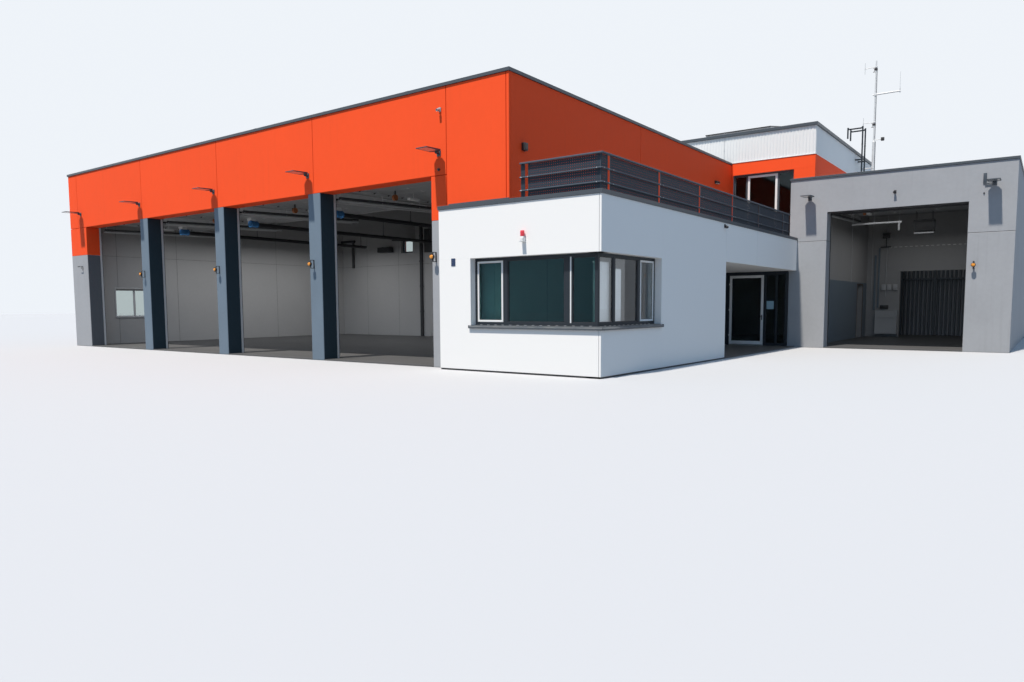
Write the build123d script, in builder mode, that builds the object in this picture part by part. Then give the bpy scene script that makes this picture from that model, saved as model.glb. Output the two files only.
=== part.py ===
from build123d import *
import os

# A fire station: a vehicle hall with four gates, a low annex with a corner window and a roof
# terrace, a two-storey block behind it and a wash bay on the right. Millimetres, +X to the right
# along the fronts, +Y into the depth, +Z up, ground at zero.

# Vehicle hall
gate_w = 4000
gate_h = 4480
gate_count = 4
column_w = 500
front_depth = 470
left_pier_w = 1265
right_pier_w = 2280
hall_depth = 13540
hall_top = 6460
wall_t = 400
cladding_t = 60
pier_colour_z = 3450
coping_h = 75
coping_lip = 30
roof_t = 200
roof_drop = 130

# Annex and entrance
annex_reach = 2485
annex_front_w = 4220
annex_step = 360
annex_depth = 6740
annex_wall_t = 350
annex_top = 3615
terrace_coping_h = 85
terrace_lip = 20
deck_t = 150
deck_top = 3550
canopy_z = 2600
canopy_beam_w = 250
soffit_t = 40
entrance_in = 600
frame_t = 60

# Block of two storeys
block_right = 340
block_w = 9360
block_depth = 9300
block_top = 7480
block_roof_t = 105
block_lip = 50
block_wall_t = 300
upper_floor_t = 250

# Wash bay
wash_reach = 6120
wash_w = 6370
wash_front = 530
wash_depth = 12830
wash_wall_t = 300
wash_top = 5610
wash_coping_h = 75
wash_gate_x = 1190
wash_gate_w = 3990
wash_gate_h = 4490

# Floor and lamps
floor_t = 30
lamp_reach = 600

# Plan lines, with the whole building centred on the origin
gate_pitch = gate_w + column_w
hall_w = left_pier_w + gate_count * gate_pitch - column_w + right_pier_w
overall_w = hall_w + annex_reach + wash_reach + 2 * coping_lip
overall_d = lamp_reach + hall_depth - wash_front + wash_depth + coping_lip
hall_x0 = -overall_w / 2 + coping_lip
hall_x1 = hall_x0 + hall_w
annex_x1 = hall_x1 + annex_reach
wash_x1 = annex_x1 + wash_reach
wash_x0 = wash_x1 - wash_w
hall_y0 = -overall_d / 2 + lamp_reach
hall_y1 = hall_y0 + hall_depth
annex_y0 = hall_y0 - annex_step
block_y0 = hall_y1
block_y1 = block_y0 + block_depth
store_y0 = block_y1
block_x1 = annex_x1 + block_right
block_x0 = block_x1 - block_w
wash_y0 = block_y0 - wash_front
wash_y1 = wash_y0 + wash_depth
annex_x0 = annex_x1 - annex_front_w
annex_y1 = annex_y0 + annex_depth
door_y = block_y0 - entrance_in
front_y1 = hall_y0 + front_depth
hall_in_x0 = hall_x0 + wall_t
hall_in_x1 = hall_x1 - wall_t
hall_in_y1 = hall_y1 - wall_t
gate_x = [hall_x0 + left_pier_w + i * gate_pitch for i in range(gate_count)]
right_pier_x = gate_x[-1] + gate_w
hall_coping_top = hall_top + coping_h
hall_ceiling = hall_top - roof_drop - roof_t
wash_roof_z = wash_top - roof_drop
wash_ceiling = wash_roof_z - roof_t


def block(x0, x1, y0, y1, z0, z1, mode=Mode.ADD):
    """A straight block between two planes each way."""
    with Locations((x0, y0, z0)):
        Box(x1 - x0, y1 - y0, z1 - z0, align=(Align.MIN, Align.MIN, Align.MIN), mode=mode)


def save(builder, name):
    """Write one node."""
    builder.part.label = name
    export_step(builder.part, f"parts/{name}.step")


os.makedirs("parts", exist_ok=True)

# Floor slabs, one in each room, and the strips in the gates
with BuildPart() as floor_slabs:
    block(hall_in_x0, hall_in_x1, front_y1, hall_in_y1, 0, floor_t)
    for x in gate_x:
        block(x, x + gate_w, hall_y0, front_y1, 0, floor_t)
    block(hall_x1, annex_x1 - annex_wall_t, hall_y0, annex_y1 - annex_wall_t, 0, floor_t)
    block(hall_x1, annex_x1, annex_y1, wash_y0, 0, floor_t)
    block(hall_x1, wash_x0, wash_y0, block_y0 + block_wall_t, 0, floor_t)
    block(block_x0 + block_wall_t, block_x1 - block_wall_t,
          block_y0 + block_wall_t, block_y1 - block_wall_t, 0, floor_t)
    block(block_x1, wash_x1 - wash_wall_t, block_y0, wash_y1 - wash_wall_t, 0, floor_t)
    block(wash_x0 + wash_gate_x, wash_x0 + wash_gate_x + wash_gate_w, wash_y0, block_y0, 0, floor_t)
save(floor_slabs, "floor_slabs")

with BuildPart() as upper_floor:
    block(block_x0 + block_wall_t, block_x1 - block_wall_t,
          block_y0 + block_wall_t, block_y1 - block_wall_t, deck_top - upper_floor_t, deck_top)
save(upper_floor, "upper_floor")

# Hall front: grey piers, slate columns, concrete beam and orange cladding with the pier heads
with BuildPart() as hall_end_piers:
    block(hall_x0, gate_x[0], hall_y0, front_y1, 0, pier_colour_z)
    block(right_pier_x, hall_in_x1, hall_y0, front_y1, 0, pier_colour_z)
save(hall_end_piers, "hall_end_piers")

for i in range(1, gate_count):
    with BuildPart() as gate_column:
        block(gate_x[i] - column_w, gate_x[i], hall_y0, front_y1, 0, gate_h)
    save(gate_column, f"gate_column_{i}")

with BuildPart() as fascia_beam:
    block(hall_x0 + cladding_t, hall_x1 - cladding_t, hall_y0 + cladding_t, front_y1,
          gate_h + cladding_t, hall_top)
save(fascia_beam, "fascia_beam")

with BuildPart() as fascia_cladding:
    block(hall_x0, hall_x1, hall_y0, hall_y0 + cladding_t, gate_h, hall_top)
    block(hall_x0, hall_x1, hall_y0, front_y1, gate_h, gate_h + cladding_t)
    block(hall_x0, hall_x0 + cladding_t, hall_y0, front_y1, gate_h, hall_top)
    block(hall_x1 - cladding_t, hall_x1, hall_y0, front_y1, gate_h, hall_top)
    block(hall_x0, gate_x[0], hall_y0, front_y1, pier_colour_z, gate_h)
    block(right_pier_x, hall_in_x1, hall_y0, front_y1, pier_colour_z, gate_h)
    block(hall_in_x1, hall_x1, hall_y0, front_y1, annex_top, gate_h)
save(fascia_cladding, "fascia_cladding")

# Hall walls. The upper part steps in for the cladding
window_y0 = 1390
window_w = 1580
window_z0 = 1067
window_h = 1150
back_window_x = 4650
back_window_w = 800
back_window_z0 = 4070
back_window_h = 630
left_window_y0 = hall_y0 + window_y0
back_window_x0 = hall_x0 + back_window_x

with BuildPart() as hall_left_wall:
    block(hall_x0, hall_in_x0, front_y1, hall_in_y1, 0, pier_colour_z)
    block(hall_x0 + cladding_t, hall_in_x0, front_y1, hall_in_y1, pier_colour_z, hall_top)
    block(hall_x0, hall_in_x0, left_window_y0, left_window_y0 + window_w,
          window_z0, window_z0 + window_h, Mode.SUBTRACT)
save(hall_left_wall, "hall_left_wall")

with BuildPart() as hall_right_wall:
    block(hall_in_x1, hall_x1, front_y1, hall_in_y1, 0, annex_top)
    block(hall_in_x1, hall_x1 - cladding_t, front_y1, hall_in_y1, annex_top, hall_top)
    block(hall_in_x1, hall_x1, hall_y0, front_y1, 0, annex_top)
save(hall_right_wall, "hall_right_wall")

with BuildPart() as hall_back_wall:
    block(hall_x0 + cladding_t, hall_x1 - cladding_t, hall_in_y1, hall_y1 - cladding_t, 0, hall_top)
    block(hall_x0, hall_x1, hall_in_y1, hall_y1, 0, pier_colour_z)
    block(block_x0, hall_x1 - cladding_t, hall_y1 - cladding_t, hall_y1, pier_colour_z, hall_top)
    block(back_window_x0, back_window_x0 + back_window_w, hall_in_y1, hall_y1,
          back_window_z0, back_window_z0 + back_window_h, Mode.SUBTRACT)
save(hall_back_wall, "hall_back_wall")

# Orange cladding on the flanks of the hall and round the head of the annex
with BuildPart() as hall_side_cladding:
    block(hall_x0, hall_x0 + cladding_t, front_y1, hall_y1, pier_colour_z, hall_top)
    block(hall_x0 + cladding_t, block_x0, hall_y1 - cladding_t, hall_y1, pier_colour_z, hall_top)
    block(back_window_x0, back_window_x0 + back_window_w, hall_y1 - cladding_t, hall_y1,
          back_window_z0, back_window_z0 + back_window_h, Mode.SUBTRACT)
    block(hall_x1 - cladding_t, hall_x1, front_y1, hall_y1, annex_top, hall_top)
save(hall_side_cladding, "hall_side_cladding")

# Flat roofs inside the parapets
with BuildPart() as flat_roofs:
    block(hall_in_x0, hall_in_x1, front_y1, hall_in_y1, hall_ceiling, hall_ceiling + roof_t)
    block(block_x1, wash_x1 - wash_wall_t, block_y0, wash_y1 - wash_wall_t,
          wash_ceiling, wash_roof_z)
save(flat_roofs, "flat_roofs")

# Roof girders from the front beam to the back wall, one over each column
girder_w = 250
girder_rise = 220
girder_z = gate_h + girder_rise
with BuildPart() as roof_girders:
    for x in gate_x[1:]:
        middle = x - column_w / 2
        block(middle - girder_w / 2, middle + girder_w / 2, front_y1, hall_in_y1,
              girder_z, hall_ceiling)
save(roof_girders, "roof_girders")

with BuildPart() as hall_coping:
    block(hall_x0 - coping_lip, hall_x1, hall_y0 - coping_lip, hall_y1,
          hall_top, hall_coping_top)
    block(hall_x1, hall_x1 + coping_lip, hall_y0 - coping_lip, hall_y1 - cladding_t,
          hall_top, hall_coping_top)
    block(hall_in_x0, hall_in_x1, front_y1, hall_in_y1, hall_top, hall_coping_top, Mode.SUBTRACT)
save(hall_coping, "hall_coping")

# Raised sectional doors on their tracks
track_w = 60
track_depth = 40
track_radius = 350
track_rise = 200
track_z = gate_h + track_rise
track_run = 5000
door_t = 42
door_rest = 0.3
section_h = 560
section_count = 8
groove = 10
hanger_r = 12
hanger_back = 250
wash_track_rise = 290
wash_track_z = wash_gate_h + wash_track_rise


def track(x, wall_y, rail_z):
    """One bent rail: up behind the opening, round and back under the roof."""
    with BuildSketch(Plane.YZ.offset(x)) as shape:
        with BuildLine() as path:
            FilletPolyline((wall_y + track_w / 2, floor_t), (wall_y + track_w / 2, rail_z),
                           (wall_y + track_run, rail_z), radius=track_radius)
        trace(path.line, line_width=track_w)
    extrude(shape.sketch, amount=track_depth)


def hangers(x0, x1, y, z0, z1):
    """Two rods that carry the back ends of a pair of rails."""
    for x in (x0, x1):
        with Locations((x, y, z0)):
            Cylinder(hanger_r, z1 - z0, align=(Align.CENTER, Align.CENTER, Align.MIN))


def raised_door(x0, x1, wall_y, rail_z):
    """A gate that lies open on the level part of its rails, one groove between sections."""
    door_z = rail_z + track_w / 2 + door_rest
    start = wall_y + track_radius + track_w
    for i in range(section_count - 1):
        block(x0, x1, start + i * section_h, start + (i + 1) * section_h - groove,
              door_z, door_z + door_t)
        block(x0, x1, start + (i + 1) * section_h - groove, start + (i + 1) * section_h,
              door_z + groove, door_z + door_t)


bays = [(x, x + gate_w, front_y1, track_z, hall_ceiling) for x in gate_x]
wash_gate_x0 = wash_x0 + wash_gate_x
wash_gate_x1 = wash_gate_x0 + wash_gate_w
bays.append((wash_gate_x0, wash_gate_x1, block_y0, wash_track_z, wash_ceiling))

with BuildPart() as gate_tracks:
    for x0, x1, wall_y, rail_z, ceiling in bays:
        track(x0 - track_depth - track_w, wall_y, rail_z)
        track(x1 + track_w, wall_y, rail_z)
        hangers(x0 - track_w - track_depth / 2, x1 + track_w + track_depth / 2,
                wall_y + track_run - hanger_back, rail_z, ceiling)
save(gate_tracks, "gate_tracks")

with BuildPart() as raised_gates:
    for x0, x1, wall_y, rail_z, ceiling in bays:
        raised_door(x0 - track_w - track_depth, x1 + track_w + track_depth, wall_y, rail_z)
save(raised_gates, "raised_gates")

# Exhaust rails under the roof of the first three bays
exhaust_r = 80
exhaust_end_r = 125
exhaust_end_len = 300
exhaust_drop = 110
exhaust_z = gate_h - exhaust_drop
exhaust_in = 2900
exhaust_back = 1000
exhaust_y0 = hall_y0 + exhaust_in
exhaust_y1 = hall_in_y1 - exhaust_back
exhaust_rods = (6000, 9000, 11800)
exhaust_bays = 3

with BuildPart() as exhaust_rails:
    for x in gate_x[:exhaust_bays]:
        with Locations(Plane((x + gate_w / 2, exhaust_y0, exhaust_z), z_dir=(0, 1, 0))):
            Cylinder(exhaust_r, exhaust_y1 - exhaust_y0, align=(Align.CENTER, Align.CENTER, Align.MIN))
        for y in exhaust_rods:
            with Locations((x + gate_w / 2, hall_y0 + y, exhaust_z)):
                Cylinder(hanger_r, hall_ceiling - exhaust_z,
                         align=(Align.CENTER, Align.CENTER, Align.MIN))
save(exhaust_rails, "exhaust_rails")

with BuildPart() as exhaust_rail_ends:
    for x in gate_x[:exhaust_bays]:
        with Locations(Plane((x + gate_w / 2, exhaust_y0 - exhaust_end_len, exhaust_z), z_dir=(0, 1, 0))):
            Cylinder(exhaust_end_r, exhaust_end_len, align=(Align.CENTER, Align.CENTER, Align.MIN))
save(exhaust_rail_ends, "exhaust_rail_ends")

# Annex walls with the window that wraps round their corner
sill_z = 957
head_z = 2494
front_window_w = 3300
side_window_w = 2740
front_window_x0 = annex_x1 - front_window_w
side_window_y1 = annex_y0 + side_window_w

with BuildPart() as annex_front_wall:
    block(annex_x0, annex_x1, annex_y0, hall_y0, 0, annex_top)
    block(front_window_x0, annex_x1, annex_y0, hall_y0, sill_z, head_z, Mode.SUBTRACT)
save(annex_front_wall, "annex_front_wall")

with BuildPart() as annex_side_wall:
    block(annex_x1 - annex_wall_t, annex_x1, hall_y0, annex_y1, 0, annex_top)
    block(annex_x1 - annex_wall_t, annex_x1, hall_y0, side_window_y1, sill_z, head_z, Mode.SUBTRACT)
save(annex_side_wall, "annex_side_wall")

with BuildPart() as annex_rear_wall:
    block(hall_x1, annex_x1 - annex_wall_t, annex_y1 - annex_wall_t, annex_y1, 0,
          deck_top - deck_t)
save(annex_rear_wall, "annex_rear_wall")

# Canopy over the entrance: a deep beam along its edge and a flat soffit
with BuildPart() as entrance_canopy:
    block(annex_x1 - canopy_beam_w, annex_x1, annex_y1, wash_y0, canopy_z, annex_top)
    block(hall_x1, annex_x1 - canopy_beam_w, annex_y1, block_y0, canopy_z, canopy_z + soffit_t)
save(entrance_canopy, "entrance_canopy")

with BuildPart() as terrace_deck:
    block(hall_x1, annex_x1 - annex_wall_t, hall_y0, annex_y1, deck_top - deck_t, deck_top)
    block(hall_x1, annex_x1 - canopy_beam_w, annex_y1, block_y0, deck_top - deck_t, deck_top)
save(terrace_deck, "terrace_deck")

with BuildPart() as terrace_coping:
    coping_top = annex_top + terrace_coping_h
    block(annex_x0 - terrace_lip, annex_x1 + terrace_lip, annex_y0 - terrace_lip, hall_y0,
          annex_top, coping_top)
    block(annex_x1 - annex_wall_t, annex_x1 + terrace_lip, hall_y0, wash_y0, annex_top, coping_top)
save(terrace_coping, "terrace_coping")

# Corner window: dark frame, two white sashes, glass and the projecting sill
setback = 170
window_frame_t = 70
member_w = 60
sill_top = 1030
sill_nose = 28
sill_reach = 50
sill_ear = 40
sill_fall = 10
front_mullions = ((2520, 2410), (955, 775))
side_mullions = ((800, 885), (1900, 2010))
corner_post = 95
sash_w = 48
glass_t = 24
frame_y0 = annex_y0 + setback
frame_x1 = annex_x1 - setback

with BuildPart() as corner_window_frame:
    block(front_window_x0, frame_x1, frame_y0, frame_y0 + window_frame_t, sill_top, head_z)
    block(frame_x1 - window_frame_t, frame_x1, frame_y0, side_window_y1, sill_top, head_z)
    lights_x = [(front_window_x0 + member_w, annex_x1 - front_mullions[0][0]),
                (annex_x1 - front_mullions[0][1], annex_x1 - front_mullions[1][0]),
                (annex_x1 - front_mullions[1][1], frame_x1 - corner_post)]
    for x0, x1 in lights_x:
        block(x0, x1, frame_y0, frame_y0 + window_frame_t, sill_top + member_w, head_z - member_w,
              Mode.SUBTRACT)
    lights_y = [(frame_y0 + corner_post, annex_y0 + side_mullions[0][0]),
                (annex_y0 + side_mullions[0][1], annex_y0 + side_mullions[1][0]),
                (annex_y0 + side_mullions[1][1], side_window_y1 - member_w)]
    for y0, y1 in lights_y:
        block(frame_x1 - window_frame_t, frame_x1, y0, y1, sill_top + member_w, head_z - member_w,
              Mode.SUBTRACT)
save(corner_window_frame, "corner_window_frame")

with BuildPart() as corner_window_sashes:
    x0, x1 = lights_x[0]
    y0, y1 = lights_y[2]
    low, high = sill_top + member_w, head_z - member_w
    block(x0, x1, frame_y0, frame_y0 + window_frame_t, low, high)
    block(x0 + sash_w, x1 - sash_w, frame_y0, frame_y0 + window_frame_t, low + sash_w,
          high - sash_w, Mode.SUBTRACT)
    block(frame_x1 - window_frame_t, frame_x1, y0, y1, low, high)
    block(frame_x1 - window_frame_t, frame_x1, y0 + sash_w, y1 - sash_w, low + sash_w,
          high - sash_w, Mode.SUBTRACT)
save(corner_window_sashes, "corner_window_sashes")

with BuildPart() as corner_window_glass:
    glass_y = frame_y0 + (window_frame_t - glass_t) / 2
    glass_x = frame_x1 - (window_frame_t + glass_t) / 2
    block(lights_x[0][0] + sash_w, lights_x[0][1] - sash_w, glass_y, glass_y + glass_t,
          low + sash_w, high - sash_w)
    for x0, x1 in lights_x[1:]:
        block(x0, x1, glass_y, glass_y + glass_t, low, high)
    for y0, y1 in lights_y[:2]:
        block(glass_x, glass_x + glass_t, y0, y1, low, high)
    block(glass_x, glass_x + glass_t, lights_y[2][0] + sash_w, lights_y[2][1] - sash_w,
          low + sash_w, high - sash_w)
save(corner_window_glass, "corner_window_glass")

with BuildPart() as window_sill:
    with BuildSketch(Plane.YZ.offset(front_window_x0 - sill_ear)):
        with BuildLine():
            Polyline((annex_y0 - sill_reach, sill_z), (annex_y0 - sill_reach, sill_z + sill_nose),
                     (annex_y0, sill_top - sill_fall), (annex_y0, sill_z), close=True)
        make_face()
    extrude(amount=front_window_w + sill_ear + sill_reach)
    with BuildSketch(Plane.XZ.offset(-side_window_y1 - sill_ear)):
        with BuildLine():
            Polyline((annex_x1 + sill_reach, sill_z), (annex_x1 + sill_reach, sill_z + sill_nose),
                     (annex_x1, sill_top - sill_fall), (annex_x1, sill_z), close=True)
        make_face()
    extrude(amount=side_window_w + sill_ear)
    block(front_window_x0, annex_x1, annex_y0, frame_y0 + window_frame_t, sill_z, sill_top)
    block(frame_x1 - window_frame_t, annex_x1, annex_y0, side_window_y1, sill_z, sill_top)
save(window_sill, "window_sill")

# Entrance: a dark frame across the porch with side lights and a hinged glazed door
door_in = 2280
door_x0 = annex_x1 - door_in
door_w = 1220
door_x1 = door_x0 + door_w
post_w = 80
light_split_in = 650
light_split = annex_x1 - light_split_in
light_post = 50
head_bar = 112
door_gap = 6
leaf_member = 90
kick_h = 140
leaf_clear = 8
leaf_z0 = floor_t + leaf_clear
leaf_z1 = canopy_z - head_bar - leaf_clear
hinge_r = 8
hinge_out = 10
hinge_h = 60
knuckle_gap = 0.5
strap_w = 30
strap_t = 5
hinge_zs = (350, 1250, 2150)
pin_x = door_x0
pin_y = door_y - hinge_out
frame_x2 = wash_x0

with BuildPart() as entrance_frame:
    block(hall_x1, frame_x2, door_y, door_y + frame_t, floor_t, canopy_z)
    block(door_x0, door_x1, door_y, door_y + frame_t, floor_t, canopy_z - head_bar, Mode.SUBTRACT)
    pane_x = [(door_x1 + post_w, light_split), (light_split + light_post, frame_x2 - post_w)]
    for x0, x1 in pane_x:
        block(x0, x1, door_y, door_y + frame_t, floor_t + post_w, canopy_z - head_bar,
              Mode.SUBTRACT)
    for z in hinge_zs:
        with Locations((pin_x, pin_y, z - hinge_h)):
            Cylinder(hinge_r, hinge_h - knuckle_gap,
                     align=(Align.CENTER, Align.CENTER, Align.MIN))
        block(pin_x - hinge_r, pin_x, pin_y, door_y, z - hinge_h, z - knuckle_gap)
save(entrance_frame, "entrance_frame")

with BuildPart() as entrance_door_leaf:
    leaf_x0 = door_x0 + door_gap
    leaf_x1 = door_x1 - door_gap
    block(leaf_x0, leaf_x1, door_y, door_y + frame_t, leaf_z0, leaf_z1)
    block(leaf_x0 + leaf_member, leaf_x1 - leaf_member, door_y, door_y + frame_t,
          leaf_z0 + kick_h, leaf_z1 - leaf_member, Mode.SUBTRACT)
    for z in hinge_zs:
        with Locations((pin_x, pin_y, z)):
            Cylinder(hinge_r, hinge_h, align=(Align.CENTER, Align.CENTER, Align.MIN))
        block(pin_x, leaf_x0 + strap_w, pin_y - strap_t, pin_y, z, z + hinge_h)
        block(leaf_x0, leaf_x0 + strap_w, pin_y - strap_t, door_y, z, z + hinge_h)
save(entrance_door_leaf, "entrance_door_leaf")

with BuildPart() as entrance_door_glass:
    block(leaf_x0 + leaf_member, leaf_x1 - leaf_member, door_y + (frame_t - glass_t) / 2,
          door_y + (frame_t + glass_t) / 2, leaf_z0 + kick_h, leaf_z1 - leaf_member)
save(entrance_door_glass, "entrance_door_glass")

handle_z = 1050
handle_reach = 55
lever_len = 130
lever_r = 10
neck_r = 8
rose_r = 26
rose_t = 8
handle_x = leaf_x1 - leaf_member / 2

with BuildPart() as entrance_door_handle:
    for y, side in ((door_y, -1), (door_y + frame_t, 1)):
        with Locations(Plane((handle_x, y, handle_z), z_dir=(0, side, 0))):
            Cylinder(rose_r, rose_t, align=(Align.CENTER, Align.CENTER, Align.MIN))
            Cylinder(neck_r, handle_reach, align=(Align.CENTER, Align.CENTER, Align.MIN))
        with Locations(Plane((handle_x + lever_r, y + side * handle_reach, handle_z),
                             z_dir=(-1, 0, 0))):
            Cylinder(lever_r, lever_len, align=(Align.CENTER, Align.CENTER, Align.MIN))
save(entrance_door_handle, "entrance_door_handle")

# Terrace railing: rails in front of perforated sheets, flat posts behind, open at each joint
rail_top = 4405
top_rail_h = 32
mid_rail_h = 22
mid_rails = (4092, 3822)
rail_w = 60
sheet_t = 4
sheet_lift = 5
rail_post_w = 60
rail_post_t = 10
railing_in = 45
front_run = 1947
front_strip = (0, 106)
front_gap_end = 181
railing_end_gap = 870
corner_strip = 272
corner_gap_end = 372
side_gap_w = 95
side_gap_shares = (0.2128, 0.3968, 0.5804, 0.756, 0.9496)
side_run_end = wash_y0 - annex_y0 - railing_end_gap
terrace_z = annex_top + terrace_coping_h


def railing_run(place, length, strips):
    """A straight run along its own x, with the outer side at minus y."""
    with Locations(place):
        with Locations((length / 2, -rail_w / 2, rail_top - top_rail_h / 2)):
            Box(length, rail_w, top_rail_h)
        for z in mid_rails:
            with Locations((length / 2, -rail_w / 2, z + mid_rail_h / 2)):
                Box(length, rail_w, mid_rail_h)
        low = terrace_z + sheet_lift
        for a, b in strips:
            with Locations(((a + b) / 2, sheet_t / 2, (low + rail_top) / 2)):
                Box(b - a, sheet_t, rail_top - low)
            for x in (a + rail_post_w / 2, b - rail_post_w / 2):
                with Locations((x, sheet_t + rail_post_t / 2, (terrace_z + rail_top) / 2)):
                    Box(rail_post_w, rail_post_t, rail_top - terrace_z)


corner_x = annex_x1 - railing_in
corner_y = annex_y0 + railing_in
front_len = front_run - railing_in + rail_w
side_len = side_run_end - railing_in
with BuildPart() as railing_front:
    railing_run(Location((annex_x1 - front_run, corner_y, 0)), front_len,
                (front_strip, (front_gap_end, front_run - railing_in - sheet_t - rail_post_t)))
save(railing_front, "railing_front")

side_strips = [(0, corner_strip)]
strip_start = corner_gap_end
for share in side_gap_shares:
    gap = share * side_run_end
    side_strips.append((strip_start, gap - railing_in - side_gap_w / 2))
    strip_start = gap - railing_in + side_gap_w / 2
side_strips.append((strip_start, side_len))
with BuildPart() as railing_side:
    railing_run(Location((corner_x, corner_y, 0), (0, 0, 90)), side_len, side_strips)
save(railing_side, "railing_side")

# Block of two storeys: walls, with the terrace door and the rear windows cut through
orange_top = hall_coping_top
terrace_door_in = 300
threshold_h = 50
terrace_door_x0 = hall_x1 + cladding_t
terrace_door_x1 = annex_x1 - terrace_door_in
terrace_door_z0 = deck_top + threshold_h
terrace_door_z1 = 6090
inner_door_back = 800
inner_door_w = 1100
inner_door_h = 2300
rear_window_w = 1000
rear_window_h = 1350
rear_window_zs = (1000, 4500)
rear_window_pitch = 1300
rear_pair_left = 900
rear_pair_right = 760
rear_left_x = block_x0 + rear_pair_left
rear_right_x = block_x1 - rear_pair_right - rear_window_w
rear_window_xs = (rear_left_x, rear_left_x + rear_window_pitch,
                  rear_right_x - rear_window_pitch, rear_right_x)

with BuildPart() as block_front_wall:
    block(block_x0, block_x1, block_y0, block_y0 + block_wall_t, 0, block_top)
    block(hall_x1, wash_x0, block_y0, block_y0 + block_wall_t, 0, canopy_z, Mode.SUBTRACT)
    block(terrace_door_x0, terrace_door_x1, block_y0, block_y0 + block_wall_t,
          terrace_door_z0, terrace_door_z1, Mode.SUBTRACT)
save(block_front_wall, "block_front_wall")

with BuildPart() as block_right_wall:
    block(block_x1 - block_wall_t, block_x1, block_y0 + block_wall_t, block_y1, 0, block_top)
    inner_door_y1 = block_y1 - inner_door_back
    block(block_x1 - block_wall_t, block_x1, inner_door_y1 - inner_door_w, inner_door_y1,
          0, inner_door_h, Mode.SUBTRACT)
save(block_right_wall, "block_right_wall")

with BuildPart() as block_left_wall:
    block(block_x0, block_x0 + block_wall_t, block_y0 + block_wall_t, block_y1, 0, block_top)
save(block_left_wall, "block_left_wall")

with BuildPart() as block_rear_wall:
    block(block_x0 + block_wall_t, block_x1 - block_wall_t, block_y1 - block_wall_t, block_y1,
          0, block_top)
    for x in rear_window_xs:
        for z in rear_window_zs:
            block(x, x + rear_window_w, block_y1 - block_wall_t, block_y1, z, z + rear_window_h,
                  Mode.SUBTRACT)
save(block_rear_wall, "block_rear_wall")

# Orange cladding on the block, clear of the wash bay's parapet
wash_coping_top = wash_top + wash_coping_h
store_x0 = block_x1 - block_wall_t
with BuildPart() as block_orange_cladding:
    block(hall_x1, wash_x0 - coping_lip, block_y0 - cladding_t, block_y0, deck_top, orange_top)
    block(hall_x1, block_x1 + cladding_t, block_y0 - cladding_t, block_y0,
          wash_coping_top, orange_top)
    block(terrace_door_x0, terrace_door_x1, block_y0 - cladding_t, block_y0,
          terrace_door_z0, terrace_door_z1, Mode.SUBTRACT)
    block(block_x1, block_x1 + cladding_t, block_y0, block_y1 + cladding_t,
          wash_coping_top, orange_top)
    block(block_x0 - cladding_t, store_x0 - coping_lip, block_y1, block_y1 + cladding_t,
          pier_colour_z, orange_top)
    block(block_x0, block_x1 + cladding_t, block_y1, block_y1 + cladding_t,
          wash_coping_top, orange_top)
    for x in rear_window_xs:
        block(x, x + rear_window_w, block_y1, block_y1 + cladding_t, rear_window_zs[1],
              rear_window_zs[1] + rear_window_h, Mode.SUBTRACT)
    block(block_x0 - cladding_t, block_x0, hall_y1, block_y1, pier_colour_z, orange_top)
save(block_orange_cladding, "block_orange_cladding")

# White ribbed cladding above it
rib_pitch = 110
rib_depth = 35
rib_base = 70
rib_crest = 40


def ribbed_sheet(start, angle, length):
    """Upright trapezium ribs on a flat back, along one side of the block."""
    count = int(length / rib_pitch)
    back = cladding_t - rib_depth
    points = [(0, 0), (0, -back)]
    for i in range(count):
        x = (i + 0.5) * length / count
        points += [(x - rib_base / 2, -back), (x - rib_crest / 2, -cladding_t),
                   (x + rib_crest / 2, -cladding_t), (x + rib_base / 2, -back)]
    points += [(length, -back), (length, 0)]
    with BuildSketch(Plane(Location((start[0], start[1], orange_top), (0, 0, angle)))) as outline:
        with BuildLine():
            Polyline(*points, close=True)
        make_face()
    extrude(outline.sketch, amount=block_top - orange_top)


with BuildPart() as block_white_cladding:
    lap = cladding_t
    ribbed_sheet((block_x0 - lap, block_y0), 0, block_w + 2 * lap)
    ribbed_sheet((block_x1, block_y0), 90, block_depth)
    ribbed_sheet((block_x1 + lap, block_y1), 180, block_w + 2 * lap)
    ribbed_sheet((block_x0, block_y1), 270, block_depth)
save(block_white_cladding, "block_white_cladding")

with BuildPart() as block_roof:
    edge = cladding_t + block_lip
    block(block_x0 - edge, block_x1 + edge, block_y0 - edge, block_y1 + edge,
          block_top, block_top + block_roof_t)
save(block_roof, "block_roof")
block_roof_z = block_top + block_roof_t

# Terrace door: dark outer frame, white leaf, fixed lights each side
terrace_setback = 60
terrace_splits = (1950, 850)
terrace_member = 50
terrace_sash_w = 80
with BuildPart() as terrace_door_frame:
    y0 = block_y0 + terrace_setback
    block(terrace_door_x0, terrace_door_x1, y0, y0 + window_frame_t, terrace_door_z0,
          terrace_door_z1)
    half = terrace_member / 2
    split_0 = annex_x1 - terrace_splits[0]
    split_1 = annex_x1 - terrace_splits[1]
    light_z0 = terrace_door_z0 + terrace_member
    light_z1 = terrace_door_z1 - terrace_member
    lights = [(terrace_door_x0 + terrace_member, split_0 - half), (split_0 + half, split_1 - half),
              (split_1 + half, terrace_door_x1 - terrace_member)]
    for a, b in lights:
        block(a, b, y0, y0 + window_frame_t, light_z0, light_z1, Mode.SUBTRACT)
save(terrace_door_frame, "terrace_door_frame")

with BuildPart() as terrace_door_sash:
    a, b = lights[1]
    block(a, b, y0, y0 + window_frame_t, light_z0, light_z1)
    block(a + terrace_sash_w, b - terrace_sash_w, y0, y0 + window_frame_t,
          light_z0 + terrace_sash_w, light_z1 - terrace_sash_w, Mode.SUBTRACT)
save(terrace_door_sash, "terrace_door_sash")

# Plain windows of the hall and the rear: a frame and one sheet of glass each
plain_member = 55
frame_in = 150
left_frame_in = 200


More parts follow.
